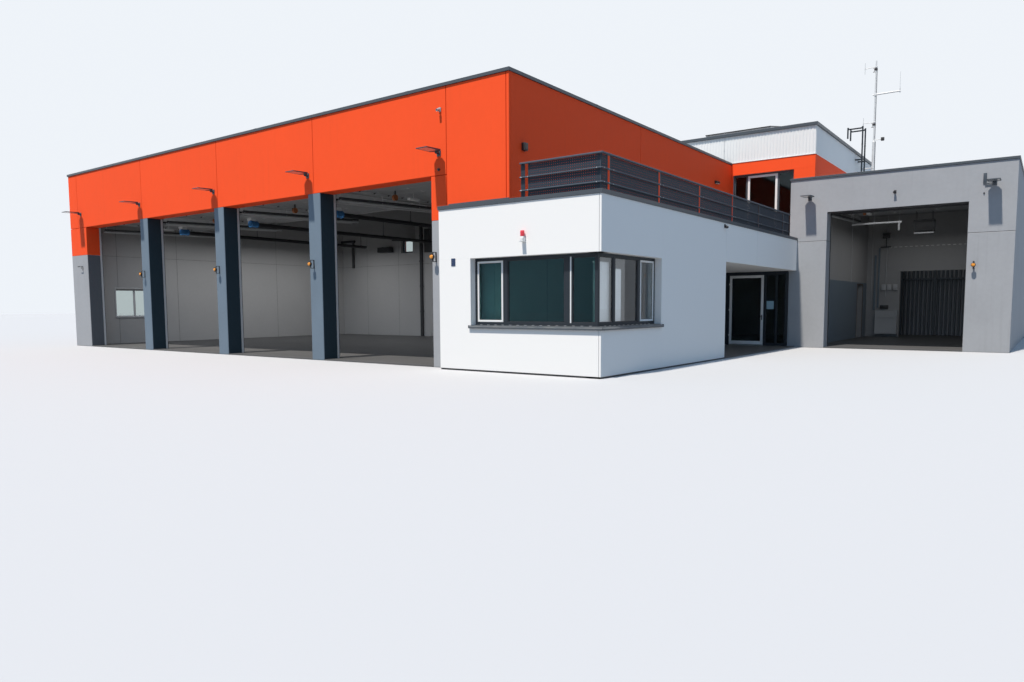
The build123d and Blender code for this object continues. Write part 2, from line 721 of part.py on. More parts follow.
def window_in_x(x0, x1, y, z0, z1, frame):
    """A window whose wall runs along x, either its frame or its glass."""
    m = plain_member
    if frame:
        block(x0, x1, y, y + frame_t, z0, z1)
        block(x0 + m, x1 - m, y, y + frame_t, z0 + m, z1 - m, Mode.SUBTRACT)
    else:
        block(x0 + m, x1 - m, y + glass_t / 2, y + glass_t * 1.5, z0 + m, z1 - m)


left_frame_x = hall_x0 + left_frame_in
left_mid = left_window_y0 + window_w / 2


def window_set(frame):
    """Every plain window, as frames or as glass."""
    window_in_x(back_window_x0, back_window_x0 + back_window_w, hall_in_y1 + frame_in,
                back_window_z0, back_window_z0 + back_window_h, frame)
    for x in rear_window_xs:
        for z in rear_window_zs:
            window_in_x(x, x + rear_window_w, block_y1 - frame_in, z, z + rear_window_h, frame)
    m = plain_member
    z0, z1 = window_z0, window_z0 + window_h
    if frame:
        block(left_frame_x, left_frame_x + frame_t, left_window_y0, left_window_y0 + window_w,
              z0, z1)
    for a, b in ((left_window_y0 + m, left_mid - m / 2), (left_mid + m / 2,
                                                         left_window_y0 + window_w - m)):
        if frame:
            block(left_frame_x, left_frame_x + frame_t, a, b, z0 + m, z1 - m, Mode.SUBTRACT)
        else:
            block(left_frame_x + glass_t / 2, left_frame_x + glass_t * 1.5, a, b, z0 + m, z1 - m)


with BuildPart() as window_frames:
    window_set(True)
save(window_frames, "window_frames")

with BuildPart() as window_glass:
    window_set(False)
    for a, b in pane_x:
        block(a, b, door_y + (frame_t - glass_t) / 2, door_y + (frame_t + glass_t) / 2,
              floor_t + post_w, canopy_z - head_bar)
    glass_y = block_y0 + terrace_setback + (window_frame_t - glass_t) / 2
    for i, (a, b) in enumerate(lights):
        inset = terrace_sash_w if i == 1 else 0
        block(a + inset, b - inset, glass_y, glass_y + glass_t, light_z0 + inset, light_z1 - inset)
save(window_glass, "window_glass")

# Wash bay: portal, walls, partition with its wide opening, parapet
with BuildPart() as wash_front:
    block(wash_x0, wash_x1, wash_y0, block_y0, 0, wash_top)
    block(wash_gate_x0, wash_gate_x1, wash_y0, block_y0, 0, wash_gate_h, Mode.SUBTRACT)
save(wash_front, "wash_front")

with BuildPart() as wash_right_wall:
    block(wash_x1 - wash_wall_t, wash_x1, block_y0, wash_y1, 0, wash_top)
save(wash_right_wall, "wash_right_wall")

with BuildPart() as store_walls:
    block(store_x0, wash_x1 - wash_wall_t, wash_y1 - wash_wall_t, wash_y1, 0, wash_top)
    block(store_x0, block_x1, store_y0, wash_y1, 0, wash_top)
save(store_walls, "store_walls")

partition_t = 200
store_gate_x = 1670
store_gate_w = 3600
store_gate_h = 2870
with BuildPart() as wash_partition:
    block(block_x1, wash_x1 - wash_wall_t, store_y0, store_y0 + partition_t, floor_t,
          wash_ceiling)
    block(annex_x1 + store_gate_x, annex_x1 + store_gate_x + store_gate_w, store_y0,
          store_y0 + partition_t, floor_t, store_gate_h, Mode.SUBTRACT)
save(wash_partition, "wash_partition")

with BuildPart() as wash_coping:
    block(wash_x0 - coping_lip, wash_x1 + coping_lip, wash_y0 - coping_lip, block_y0,
          wash_top, wash_coping_top)
    block(wash_x1 - wash_wall_t, wash_x1 + coping_lip, block_y0, wash_y1 + coping_lip,
          wash_top, wash_coping_top)
    block(store_x0 - coping_lip, wash_x1, wash_y1 - wash_wall_t, wash_y1 + coping_lip,
          wash_top, wash_coping_top)
    block(store_x0 - coping_lip, block_x1, store_y0, wash_y1, wash_top, wash_coping_top)
save(wash_coping, "wash_coping")

# Solar panels on the block's roof: short rows that face the front, tilted on legs
panel_w = 1200
panel_len = 1650
panel_t = 40
panel_gap = 20
panel_rows = 3
row_pitch = 2700
panels_in_row = 2
panel_in = 3756
panel_back = 600
panel_x0 = annex_x1 - panel_in
panel_y0 = block_y0 + panel_back
panel_low = 200
panel_rise = 290
leg_w = 40
leg_in = 60

with BuildPart() as solar_panels:
    for i in range(panels_in_row):
        x = panel_x0 + i * (panel_w + panel_gap)
        for j in range(panel_rows):
            y0 = panel_y0 + j * row_pitch
            low_z = block_roof_z + panel_low
            with BuildSketch(Plane.YZ.offset(x)) as slope:
                with BuildLine():
                    Polyline((y0, low_z), (y0 + panel_len, low_z + panel_rise),
                             (y0 + panel_len, low_z + panel_rise + panel_t),
                             (y0, low_z + panel_t), close=True)
                make_face()
            extrude(slope.sketch, amount=panel_w)
            for y in (y0 + leg_in, y0 + panel_len - leg_in - leg_w):
                leg_top = low_z + panel_rise * (y + leg_w - y0) / panel_len
                block(x, x + panel_w, y, y + leg_w, leg_top - leg_w, leg_top)
                for leg_x in (x, x + panel_w - leg_w):
                    block(leg_x, leg_x + leg_w, y, y + leg_w, block_roof_z, leg_top)
save(solar_panels, "solar_panels")

# Two vent pipes that rise from the wash bay's roof and hook over the block's eaves
pipe_d = 60
pipe_out = 650
pipe_backs = (3400, 2900)
pipe_x = annex_x1 + pipe_out
pipe_reach = 550
pipe_top = 8600
pipe_drop = 500
pipe_bend = 45
pipe_ys = [block_y1 - back for back in pipe_backs]
clamp_h = 50
pipe_clamp_z = orange_top - 200

with BuildPart() as vent_pipes:
    for y in pipe_ys:
        with BuildLine() as run:
            FilletPolyline((pipe_x, y, wash_roof_z), (pipe_x, y, pipe_top),
                           (pipe_x - pipe_reach, y, pipe_top),
                           (pipe_x - pipe_reach, y, pipe_top - pipe_drop), radius=pipe_bend)
        with BuildSketch(Plane((pipe_x, y, wash_roof_z))) as ring:
            Circle(pipe_d / 2)
        sweep(ring.sketch, path=run.wire())
        block(block_x1 + cladding_t, pipe_x, y - clamp_h / 2, y + clamp_h / 2,
              pipe_clamp_z, pipe_clamp_z + clamp_h)
save(vent_pipes, "vent_pipes")

# Antenna mast beside them: stepped tube, cross arm and aerials
mast_out = 820
mast_back = 2100
mast_x = annex_x1 + mast_out
mast_y = block_y1 - mast_back
mast_r = 55
mast_step_z = 8100
mast_top_r = 35
mast_top = 11350
arm_z = 10000
arm_left = 90
arm_right = 930
arm_r = 32
whip_r = 12
whip_h = 760
aerial_zs = (8900, 11100)
aerial_reach = 420
aerial_r = 14
aerial_box = 90
dipole_r = 11
dipole_h = 460
radio_z = 8180
radio_reach = 330
mast_clamp_zs = (wash_coping_top + 300, orange_top + 500)

with BuildPart() as antenna_mast:
    with Locations((mast_x, mast_y, wash_roof_z)):
        Cylinder(mast_r, mast_step_z - wash_roof_z, align=(Align.CENTER, Align.CENTER, Align.MIN))
    with Locations((mast_x, mast_y, mast_step_z)):
        Cylinder(mast_top_r, mast_top - mast_step_z,
                 align=(Align.CENTER, Align.CENTER, Align.MIN))
    with Locations(Plane((mast_x - arm_left, mast_y, arm_z), z_dir=(1, 0, 0))):
        Cylinder(arm_r, arm_left + arm_right, align=(Align.CENTER, Align.CENTER, Align.MIN))
    with Locations((mast_x + arm_right - arm_r, mast_y, arm_z)):
        Cylinder(whip_r, whip_h, align=(Align.CENTER, Align.CENTER, Align.MIN))
    for z in aerial_zs:
        with Locations(Plane((mast_x, mast_y, z), z_dir=(-1, 0, 0))):
            Cylinder(aerial_r, aerial_reach, align=(Align.CENTER, Align.CENTER, Align.MIN))
        with Locations((mast_x - aerial_reach, mast_y, z)):
            Cylinder(dipole_r, dipole_h)
        with Locations((mast_x, mast_y, z - aerial_box)):
            Box(aerial_box, aerial_box, aerial_box)
    with Locations(Plane((mast_x, mast_y, radio_z), z_dir=(1, 0, 0))):
        Cylinder(aerial_r, radio_reach, align=(Align.CENTER, Align.CENTER, Align.MIN))
    with Locations((mast_x + radio_reach, mast_y, radio_z)):
        Box(aerial_box, aerial_box, aerial_box)
    for z in mast_clamp_zs:
        block(block_x1 + cladding_t, mast_x, mast_y - clamp_h / 2, mast_y + clamp_h / 2,
              z, z + clamp_h)
save(antenna_mast, "antenna_mast")

# Floodlights on short arms, gate beacons and the alarm light
lamp_w = 335
lamp_len = 520
lamp_t = 35
lamp_arm = 50
lamp_drop = 60
lamp_rise = 520
lamp_z = gate_h + lamp_rise
lamp_bracket = (120, 130)
plate_t = 15
left_lamp_in = 900
column_lamp_in = 235
right_lamp_in = 260
wash_lamp_ins = (634, 5803)
hall_lamps = [hall_x0 + left_lamp_in]
hall_lamps += [x - column_w / 2 - column_lamp_in for x in gate_x[1:]]
hall_lamps += [right_pier_x + right_lamp_in]
wash_lamps = [wash_x0 + x for x in wash_lamp_ins]


def floodlight(x, wall_y, z):
    """A flat lamp that looks down, on a short arm from its bracket on the wall."""
    y0 = wall_y - lamp_reach
    top = z + lamp_t
    block(x - lamp_w / 2, x + lamp_w / 2, y0, y0 + lamp_len, z, top)
    block(x - lamp_arm / 2, x + lamp_arm / 2, y0 + lamp_len - lamp_arm, wall_y, z - lamp_drop, z)
    block(x - lamp_bracket[0] / 2, x + lamp_bracket[0] / 2, wall_y - plate_t, wall_y,
          top - lamp_bracket[1], top)


with BuildPart() as floodlights:
    for x in hall_lamps:
        floodlight(x, hall_y0, lamp_z)
    for x in wash_lamps:
        floodlight(x, wash_y0, lamp_z)
save(floodlights, "floodlights")

# Each beacon is a round lamp that faces outward, held off the wall by a flat loop
beacon_z = 2600
loop_reach = 120
loop_h = 230
loop_bar = 14
loop_w = 36
housing_r = 62
housing_len = 50
beacon_r = 52
beacon_lens = 24
beacon_in = 180
pier_beacon_in = 130
wash_beacon_in = 194
beacon_places = [(x - column_w + beacon_in, hall_y0) for x in gate_x[1:]]
beacon_places += [(right_pier_x + pier_beacon_in, hall_y0), (wash_gate_x1 + wash_beacon_in, wash_y0)]

with BuildPart() as gate_beacon_brackets:
    for x, wall_y in beacon_places:
        x0, x1 = x - loop_w / 2, x + loop_w / 2
        z0, z1 = beacon_z - loop_h / 2, beacon_z + loop_h / 2
        y0 = wall_y - loop_reach
        block(x0, x1, y0, wall_y, z0, z1)
        block(x0, x1, y0 + loop_bar, wall_y - loop_bar, z0 + loop_bar, z1 - loop_bar, Mode.SUBTRACT)
        with Locations(Plane((x, y0, beacon_z), z_dir=(0, -1, 0))):
            Cylinder(housing_r, housing_len, align=(Align.CENTER, Align.CENTER, Align.MIN))
save(gate_beacon_brackets, "gate_beacon_brackets")

with BuildPart() as gate_beacon_lenses:
    for x, wall_y in beacon_places:
        front = wall_y - loop_reach - housing_len
        with Locations(Plane((x, front, beacon_z), z_dir=(0, -1, 0))):
            Cylinder(beacon_r, beacon_lens, align=(Align.CENTER, Align.CENTER, Align.MIN))
save(gate_beacon_lenses, "gate_beacon_lenses")

alarm_in = 1840
alarm_x = annex_x1 - alarm_in
alarm_z = 2775
alarm_w = 100
alarm_reach = 125
alarm_flange = 14
alarm_base_w = 84
alarm_base_h = 110
alarm_lens_r = 45
alarm_lens_h = 125
with BuildPart() as alarm_light:
    block(alarm_x - alarm_w / 2, alarm_x + alarm_w / 2, annex_y0 - alarm_reach, annex_y0,
          alarm_z, alarm_z + alarm_flange)
    block(alarm_x - alarm_base_w / 2, alarm_x + alarm_base_w / 2, annex_y0 - alarm_reach + alarm_flange,
          annex_y0, alarm_z + alarm_flange, alarm_z + alarm_base_h)
    with Locations((alarm_x, annex_y0 - alarm_reach / 2, alarm_z + alarm_base_h)):
        Cylinder(alarm_lens_r, alarm_lens_h, align=(Align.CENTER, Align.CENTER, Align.MIN))
save(alarm_light, "alarm_light")
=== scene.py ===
import math

import bpy
from mathutils import Matrix, Vector


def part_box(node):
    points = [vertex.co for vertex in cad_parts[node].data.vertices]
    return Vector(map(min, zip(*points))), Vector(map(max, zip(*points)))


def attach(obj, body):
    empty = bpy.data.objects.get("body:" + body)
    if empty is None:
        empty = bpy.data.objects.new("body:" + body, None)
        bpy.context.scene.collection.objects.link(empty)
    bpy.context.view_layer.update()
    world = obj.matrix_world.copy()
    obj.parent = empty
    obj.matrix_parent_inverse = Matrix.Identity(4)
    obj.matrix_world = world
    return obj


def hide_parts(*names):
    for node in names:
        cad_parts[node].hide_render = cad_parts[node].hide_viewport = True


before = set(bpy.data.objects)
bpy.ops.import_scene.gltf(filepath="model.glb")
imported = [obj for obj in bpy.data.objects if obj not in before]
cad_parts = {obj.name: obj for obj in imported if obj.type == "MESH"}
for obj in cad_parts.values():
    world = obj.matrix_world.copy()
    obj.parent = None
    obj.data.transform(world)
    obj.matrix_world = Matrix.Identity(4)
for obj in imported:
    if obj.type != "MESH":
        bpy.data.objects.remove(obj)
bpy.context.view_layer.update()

bl_info = {"name": "Fire station dressing", "version": (1, 0, 0), "blender": (4, 5, 0),
    "location": "View3D > Sidebar > Station",
    "description": "Facade, window, railing, gate and roof details of a fire station",
    "category": "Object",}

# Places that the fixed model gives
BODY = "building"
DOOR = "entrance_door"
COLUMNS = [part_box(f"gate_column_{i}") for i in (1, 2, 3)]
(HALL_X0, HALL_Y0, _), (_, FRONT_Y1, PIER_Z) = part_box("hall_end_piers")
GATE_Z = COLUMNS[0][1][2]
HALL_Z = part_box("hall_coping")[0][2]
(HALL_IN_X1, _, _), (HALL_X1, _, _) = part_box("hall_right_wall")
HALL_Y1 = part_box("hall_back_wall")[1][1]
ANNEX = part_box("annex_front_wall")
(_, ANNEX_Y0, _), (ANNEX_X1, _, ANNEX_Z) = ANNEX
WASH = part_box("wash_front")
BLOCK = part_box("block_front_wall")
COLUMN_W = COLUMNS[0][1][0] - COLUMNS[0][0][0]
GATE_W = COLUMNS[1][0][0] - COLUMNS[0][1][0]
GATE_XS = [COLUMNS[0][0][0] - GATE_W] + [c[1][0] for c in COLUMNS]
RIGHT_PIER_X = GATE_XS[3] + GATE_W
CLADDING_T = 0.06
HALL_CEILING, WASH_CEILING = 6.13, 5.28
BLOCK_Y1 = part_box("block_rear_wall")[1][1]
WASH_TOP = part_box("wash_coping")[1][2]
REAR_WINDOW_W = 1.0
REAR_WINDOW_XS = [BLOCK[0][0] + x for x in (0.9, 2.2, 6.3, 7.6)]

# Camera of the photograph, in the frame of the model
CAMERA_PLACE = (15.842, -25.610, 1.437)
CAMERA_YAW = -36.415
CAMERA_PITCH = -4.784
CAMERA_ROLL = -0.279
CAMERA_LENS = 25.814
CAMERA_SHIFT = 0.0262
SENSOR_W = 36.0


def colour_setting(name, text, value):
    return bpy.props.FloatVectorProperty(name=name, description=text, default=value, size=3,
        min=0.0, max=1.0, subtype="COLOR")


def length_setting(name, text, value):
    return bpy.props.FloatProperty(name=name, description=text, default=value, min=0.0,
        unit="LENGTH", precision=4)


class StationColours(bpy.types.PropertyGroup):
    orange: colour_setting("Orange", "Painted facade panels", (0.93, 0.088, 0.018))
    slate: colour_setting("Slate", "Gate columns", (0.15, 0.20, 0.255))
    grey: colour_setting("Grey", "Piers and wash bay", (0.36, 0.375, 0.40))
    render: colour_setting("Render", "White walls of the annex", (0.80, 0.80, 0.79))
    anthracite: colour_setting("Anthracite", "Copings, frames and rails", (0.052, 0.066, 0.082))
    white_sheet: colour_setting("White sheet", "Ribbed cladding and sashes", (0.78, 0.79, 0.79))
    inner_wall: colour_setting("Inner wall", "Concrete inside the halls", (0.42, 0.42, 0.42))
    # Floor slabs: dark grey, partly painted shade for the shadows that lie on the hall floor
    floor: colour_setting("Floor", "Floor slabs", (0.080, 0.082, 0.086))
    blue: colour_setting("Blue", "Exhaust rail ends", (0.01, 0.08, 0.28))
    amber: colour_setting("Amber", "Gate beacons", (0.90, 0.33, 0.01))
    red: colour_setting("Red", "Alarm light", (0.62, 0.01, 0.02))


class StationSizes(bpy.types.PropertyGroup):
    panel_gap: length_setting("Panel gap", "Open joint between two facade panels", 0.014)
    panel_edge: length_setting("Panel edge", "Chamfer on a facade panel", 0.006)
    column_edge: length_setting("Column edge", "Chamfer on a gate column", 0.012)
    metal_edge: length_setting("Metal edge", "Rounding on folded metal", 0.002)


def colours():
    return bpy.context.scene.station_colours


def sizes():
    return bpy.context.scene.station_sizes


# Places along the building, from the annex's front right corner
def place(x, y, z):
    return Vector((ANNEX_X1 + x, ANNEX_Y0 + y, z))


# Modelling by hand: one primitive at its place, shaped and finished
def object_mode():
    bpy.ops.object.mode_set(mode="OBJECT")


def edit_mode():
    bpy.ops.object.mode_set(mode="EDIT")


def lone():
    if bpy.context.mode != "OBJECT":
        object_mode()
    bpy.ops.object.select_all(action="DESELECT")


def only(piece):
    lone()
    piece.select_set(True)
    bpy.context.view_layer.objects.active = piece


def settle(piece):
    only(piece)
    bpy.ops.object.transform_apply(location=True, rotation=True, scale=True)
    return piece


def modify(piece, kind, **values):
    """Applies a modifier with these settings."""
    only(piece)
    modifier = piece.modifiers.new("step", kind)
    for key, value in values.items():
        setattr(modifier, key, value)
    bpy.ops.object.modifier_apply(modifier=modifier.name)


def round_edges(piece, width, segments=1):
    if width > 0:
        modify(piece, "BEVEL", width=width, segments=segments, limit_method="ANGLE")
    return piece


def bar(low, high, edge=0.0, segments=1):
    """A straight block between two corners."""
    lone()
    middle = [(a + b) / 2 for a, b in zip(low, high)]
    size = [b - a for a, b in zip(low, high)]
    bpy.ops.mesh.primitive_cube_add(size=1, location=middle, scale=size)
    return round_edges(settle(bpy.context.object), edge, segments)


def bars(rows, edge=0.0, segments=1):
    """Blocks, each between two planes across x, two across y and two across z."""
    return [bar(row[0::2], row[1::2], edge, segments) for row in rows]


def rod(start, end, radius, sides=16, end_radius=None):
    """A round bar or a cone between two points."""
    lone()
    start, end = Vector(start), Vector(end)
    way = end - start
    turn = Vector((0, 0, 1)).rotation_difference(way).to_euler()
    last = radius if end_radius is None else end_radius
    bpy.ops.mesh.primitive_cone_add(vertices=sides, radius1=radius, radius2=last, depth=way.length,
        location=(start + end) / 2, rotation=turn)
    return settle(bpy.context.object)


def ball(centre, radius, stretch=(1, 1, 1), sides=16):
    lone()
    bpy.ops.mesh.primitive_uv_sphere_add(segments=sides, ring_count=sides // 2, radius=radius,
        location=centre, scale=stretch)
    return settle(bpy.context.object)


def pipe(points, radius, bend, sides=12):
    """A round pipe that is extruded along its runs and spun round its corners."""
    lone()
    points = [Vector(p) for p in points]
    way = (points[1] - points[0]).normalized()
    turn = Vector((0, 0, 1)).rotation_difference(way).to_euler()
    bpy.ops.mesh.primitive_circle_add(vertices=sides, radius=radius, fill_type="NGON",
        location=points[0], rotation=turn)
    piece = settle(bpy.context.object)
    edit_mode()
    bpy.ops.mesh.select_all(action="SELECT")
    here = points[0]
    for i in range(1, len(points)):
        way = (points[i] - points[i - 1]).normalized()
        last = i == len(points) - 1
        if not last:
            after = (points[i + 1] - points[i]).normalized()
            angle = way.angle(after)
            back = bend * math.tan(angle / 2)
        stop = points[i] if last else points[i] - way * back
        bpy.ops.mesh.extrude_region_move(TRANSFORM_OT_translate={"value": stop - here})
        if not last:
            axis = way.cross(after).normalized()
            centre = stop + axis.cross(way) * bend
            bpy.ops.mesh.spin(steps=6, angle=angle, center=centre, axis=axis)
            here = points[i] + after * back
    bpy.ops.mesh.select_all(action="SELECT")
    bpy.ops.mesh.remove_doubles(threshold=0.0001)
    bpy.ops.mesh.normals_make_consistent(inside=False)
    object_mode()
    return piece


def again(piece, *offsets):
    """Copies of a piece, each with its own mesh, moved by the offsets."""
    twins = []
    for offset in offsets:
        twin = piece.copy()
        twin.data = piece.data.copy()
        bpy.context.collection.objects.link(twin)
        twin.data.transform(Matrix.Translation(Vector(offset)))
        twins.append(twin)
    return twins


def shift(axis, amount):
    return [amount if i == axis else 0 for i in range(3)]


def series(piece, axis, pitch, count):
    """A piece and its copies at an even pitch along an axis."""
    return [piece] + again(piece, *[shift(axis, pitch * i) for i in range(1, count)])


def merge(name, pieces, material, slot, *nodes, body=BODY, smooth=None):
    """Joins the pieces into one, finishes it and says what it rides on and stands for."""
    lone()
    for piece in pieces:
        piece.select_set(True)
    bpy.context.view_layer.objects.active = pieces[0]
    if len(pieces) > 1:
        bpy.ops.object.join()
    whole = bpy.context.object
    whole.name = name
    whole.data.name = name
    settle(whole)
    if smooth:
        bpy.ops.object.shade_smooth_by_angle(angle=math.radians(smooth))
    whole.data.materials.clear()
    whole.data.materials.append(paint(material))
    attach(whole, body)
    if nodes:
        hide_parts(*nodes)
    return whole


# Shared effects, each a group that is built once
NUMBER = "NodeSocketFloat"
SOCKETS = {"Vector": "NodeSocketVector", "Colour": "NodeSocketColor"}


def new_group(name, inputs, outputs):
    group = bpy.data.node_groups.new(name, "ShaderNodeTree")
    for label, value in inputs.items():
        socket = group.interface.new_socket(name=label, in_out="INPUT",
            socket_type=SOCKETS.get(label, NUMBER))
        if value is not None:
            socket.default_value = value
    for label in outputs:
        group.interface.new_socket(name=label, in_out="OUTPUT",
            socket_type=SOCKETS.get(label, NUMBER))
    given, out = group.nodes.new("NodeGroupInput"), group.nodes.new("NodeGroupOutput")
    return group, given.outputs, out.inputs


def feed(tree, socket, value):
    """Links a socket to another, or sets its value."""
    if isinstance(value, bpy.types.NodeSocket):
        tree.links.new(value, socket)
    else:
        socket.default_value = value


def add(tree, kind, links=None, **values):
    """A node with its settings, sockets by name or number set or linked."""
    node = tree.nodes.new(kind)
    for key, value in values.items():
        setattr(node, key, value)
    for key, value in (links or {}).items():
        feed(tree, node.inputs[key], value)
    return node


def maths(tree, operation, a, b=0.0, c=None, clamp=False):
    links = {0: a, 1: b}
    if c is not None:
        links[2] = c
    return add(tree, "ShaderNodeMath", links, operation=operation, use_clamp=clamp).outputs[0]


def noise(tree, vector, scale, detail, roughness=0.5):
    links = {"Vector": vector, "Scale": scale, "Detail": detail, "Roughness": roughness}
    return add(tree, "ShaderNodeTexNoise", links).outputs[0]


def stretched(tree, vector, scale):
    return add(tree, "ShaderNodeMapping", {"Vector": vector, "Scale": scale}).outputs[0]


def mix_colour(tree, factor, a, b, blend="MIX"):
    node = tree.nodes.new("ShaderNodeMix")
    node.data_type = "RGBA"
    node.blend_type = blend
    for key, value in ((0, factor), (6, a), (7, b)):
        feed(tree, node.inputs[key], value)
    return node.outputs[2]


def build_tone_group():
    """Broad and fine variation of a colour, as on paint and concrete."""
    group, given, out = new_group("surface_tone", {"Vector": None, "Colour": None, "Scale": 1.0,
        "Amount": 0.1}, ("Colour", "Value"))
    broad = noise(group, given["Vector"], given["Scale"], 4.0)
    fine_scale = maths(group, "MULTIPLY", given["Scale"], 11.0)
    fine = noise(group, given["Vector"], fine_scale, 3.0)
    both = maths(group, "MULTIPLY_ADD", fine, 0.35, maths(group, "MULTIPLY", broad, 0.65))
    swing = maths(group, "MULTIPLY", maths(group, "SUBTRACT", both, 0.5), 3.2)
    level = maths(group, "MULTIPLY_ADD", swing, given["Amount"], 1.0)
    tone = add(group, "ShaderNodeCombineColor", {0: level, 1: level, 2: level}).outputs[0]
    group.links.new(mix_colour(group, 1.0, given["Colour"], tone, "MULTIPLY"), out["Colour"])
    group.links.new(both, out["Value"])
    return group


def build_rain_group():
    """Upright streaks that water leaves on a wall."""
    group, given, out = new_group("rain_streaks", {"Vector": None, "Amount": 0.2}, ("Mask",))
    thin = noise(group, stretched(group, given["Vector"], (9.0, 9.0, 0.35)), 1.0, 5.0)
    wide = noise(group, stretched(group, given["Vector"], (0.8, 0.8, 0.5)), 1.0, 2.0)
    lifted = add(group, "ShaderNodeMapRange", {0: thin, 1: 0.52, 2: 0.72})
    where = add(group, "ShaderNodeMapRange", {0: wide, 1: 0.42, 2: 0.62})
    mask = maths(group, "MULTIPLY", lifted.outputs[0], where.outputs[0])
    group.links.new(maths(group, "MULTIPLY", mask, given["Amount"], clamp=True), out["Mask"])
    return group


def build_grain_group():
    """Fine relief: the sand of render and concrete, or the peel of a coat of paint."""
    group, given, out = new_group("fine_grain", {"Vector": None, "Scale": 200.0}, ("Height",))
    sand = noise(group, given["Vector"], given["Scale"], 4.0, 0.65)
    waves = noise(group, given["Vector"], maths(group, "MULTIPLY", given["Scale"], 0.06), 2.0)
    group.links.new(maths(group, "MULTIPLY_ADD", waves, 0.6, sand), out["Height"])
    return group


def build_dust_group():
    """Dust and dirt that lie on faces that look up."""
    group, given, out = new_group("settled_dust", {"Vector": None, "Amount": 0.3}, ("Mask",))
    normal = add(group, "ShaderNodeNewGeometry").outputs["Normal"]
    up = add(group, "ShaderNodeSeparateXYZ", {0: normal}).outputs[2]
    flat = add(group, "ShaderNodeMapRange", {0: up, 1: 0.5, 2: 0.95}).outputs[0]
    spots = noise(group, given["Vector"], 3.0, 6.0)
    some = add(group, "ShaderNodeMapRange", {0: spots, 1: 0.35, 2: 0.7}).outputs[0]
    both = maths(group, "MULTIPLY", flat, some)
    group.links.new(maths(group, "MULTIPLY", both, given["Amount"], clamp=True), out["Mask"])
    return group


def build_line_group():
    """Straight joints at an even pitch along one axis."""
    group, given, out = new_group("joint_lines",
        {"Along": 0.0, "Pitch": 1.0, "Start": 0.0, "Width": 0.01}, ("Mask",))
    shifted = maths(group, "SUBTRACT", given["Along"], given["Start"])
    cell = maths(group, "DIVIDE", shifted, given["Pitch"])
    nearest = maths(group, "ROUND", cell)
    away = maths(group, "ABSOLUTE", maths(group, "SUBTRACT", cell, nearest))
    reach = maths(group, "MULTIPLY", away, given["Pitch"])
    half = maths(group, "MULTIPLY", given["Width"], 0.5)
    group.links.new(maths(group, "LESS_THAN", reach, half), out["Mask"])
    return group


GROUP_BUILDERS = {"surface_tone": build_tone_group, "rain_streaks": build_rain_group,
    "fine_grain": build_grain_group, "settled_dust": build_dust_group,
    "joint_lines": build_line_group}


def effect(tree, name, links):
    """Places a shared effect in a material with its own values."""
    group = bpy.data.node_groups.get(name) or GROUP_BUILDERS[name]()
    node = tree.nodes.new("ShaderNodeGroup")
    node.node_tree = group
    for key, value in links.items():
        feed(tree, node.inputs[key], value)
    return node.outputs[0]


def finish(tree, shader, colour, rough, tone, tone_scale, grain, grain_scale, metal=0.0, rain=0.0,
        rain_colour=(0.10, 0.10, 0.10), dust=0.0, dust_colour=(0.30, 0.28, 0.25), lines=(),
        line_depth=0.5, line_colour=0.35, coat=0.0, rough_swing=0.12, specular=0.5):
    """One painted, cast or coated finish, put together from the shared effects."""
    place = add(tree, "ShaderNodeTexCoord").outputs["Object"]
    tinted = effect(tree, "surface_tone",
        {"Vector": place, "Colour": (*colour, 1.0), "Scale": tone_scale, "Amount": tone})
    value = tree.nodes[-1].outputs["Value"]
    height = None
    if grain:
        height = effect(tree, "fine_grain", {"Vector": place, "Scale": grain_scale})
    if lines:
        axes = add(tree, "ShaderNodeSeparateXYZ", {0: place})
        for axis, pitch, start, width in lines:
            mask = effect(tree, "joint_lines", {"Along": axes.outputs[axis], "Pitch": pitch,
                "Start": start, "Width": width})
            dark = (*[c * line_colour for c in colour], 1.0)
            tinted = mix_colour(tree, mask, tinted, dark)
            drop = maths(tree, "MULTIPLY", mask, -line_depth / max(grain, 0.0001))
            height = drop if height is None else maths(tree, "ADD", height, drop)
    if rain:
        mask = effect(tree, "rain_streaks", {"Vector": place, "Amount": rain})
        tinted = mix_colour(tree, mask, tinted, (*rain_colour, 1.0))
    if dust:
        mask = effect(tree, "settled_dust", {"Vector": place, "Amount": dust})
        tinted = mix_colour(tree, mask, tinted, (*dust_colour, 1.0))
    tree.links.new(tinted, shader.inputs["Base Color"])
    swing = maths(tree, "MULTIPLY_ADD", maths(tree, "SUBTRACT", value, 0.5), rough_swing, rough,
        clamp=True)
    tree.links.new(swing, shader.inputs["Roughness"])
    shader.inputs["Metallic"].default_value = metal
    shader.inputs["Coat Weight"].default_value = coat
    shader.inputs["Specular IOR Level"].default_value = specular
    if height is not None:
        bump = add(tree, "ShaderNodeBump",
            {"Height": height, "Strength": 1.0, "Distance": max(grain, 0.0001)})
        tree.links.new(bump.outputs[0], shader.inputs["Normal"])


def glass_finish(tree, shader, tint, gleam=(1.0, 1.0, 1.0)):
    """A clear pane with a tint."""
    place = add(tree, "ShaderNodeTexCoord").outputs["Object"]
    tinted = effect(tree, "surface_tone", {"Vector": place, "Colour": (*tint, 1.0), "Scale": 0.7,
        "Amount": 0.02})
    tree.links.new(tinted, shader.inputs["Base Color"])
    shader.inputs["Roughness"].default_value = 0.01
    shader.inputs["IOR"].default_value = 1.45
    shader.inputs["Specular Tint"].default_value = (*gleam, 1.0)
    shader.inputs["Transmission Weight"].default_value = 1.0


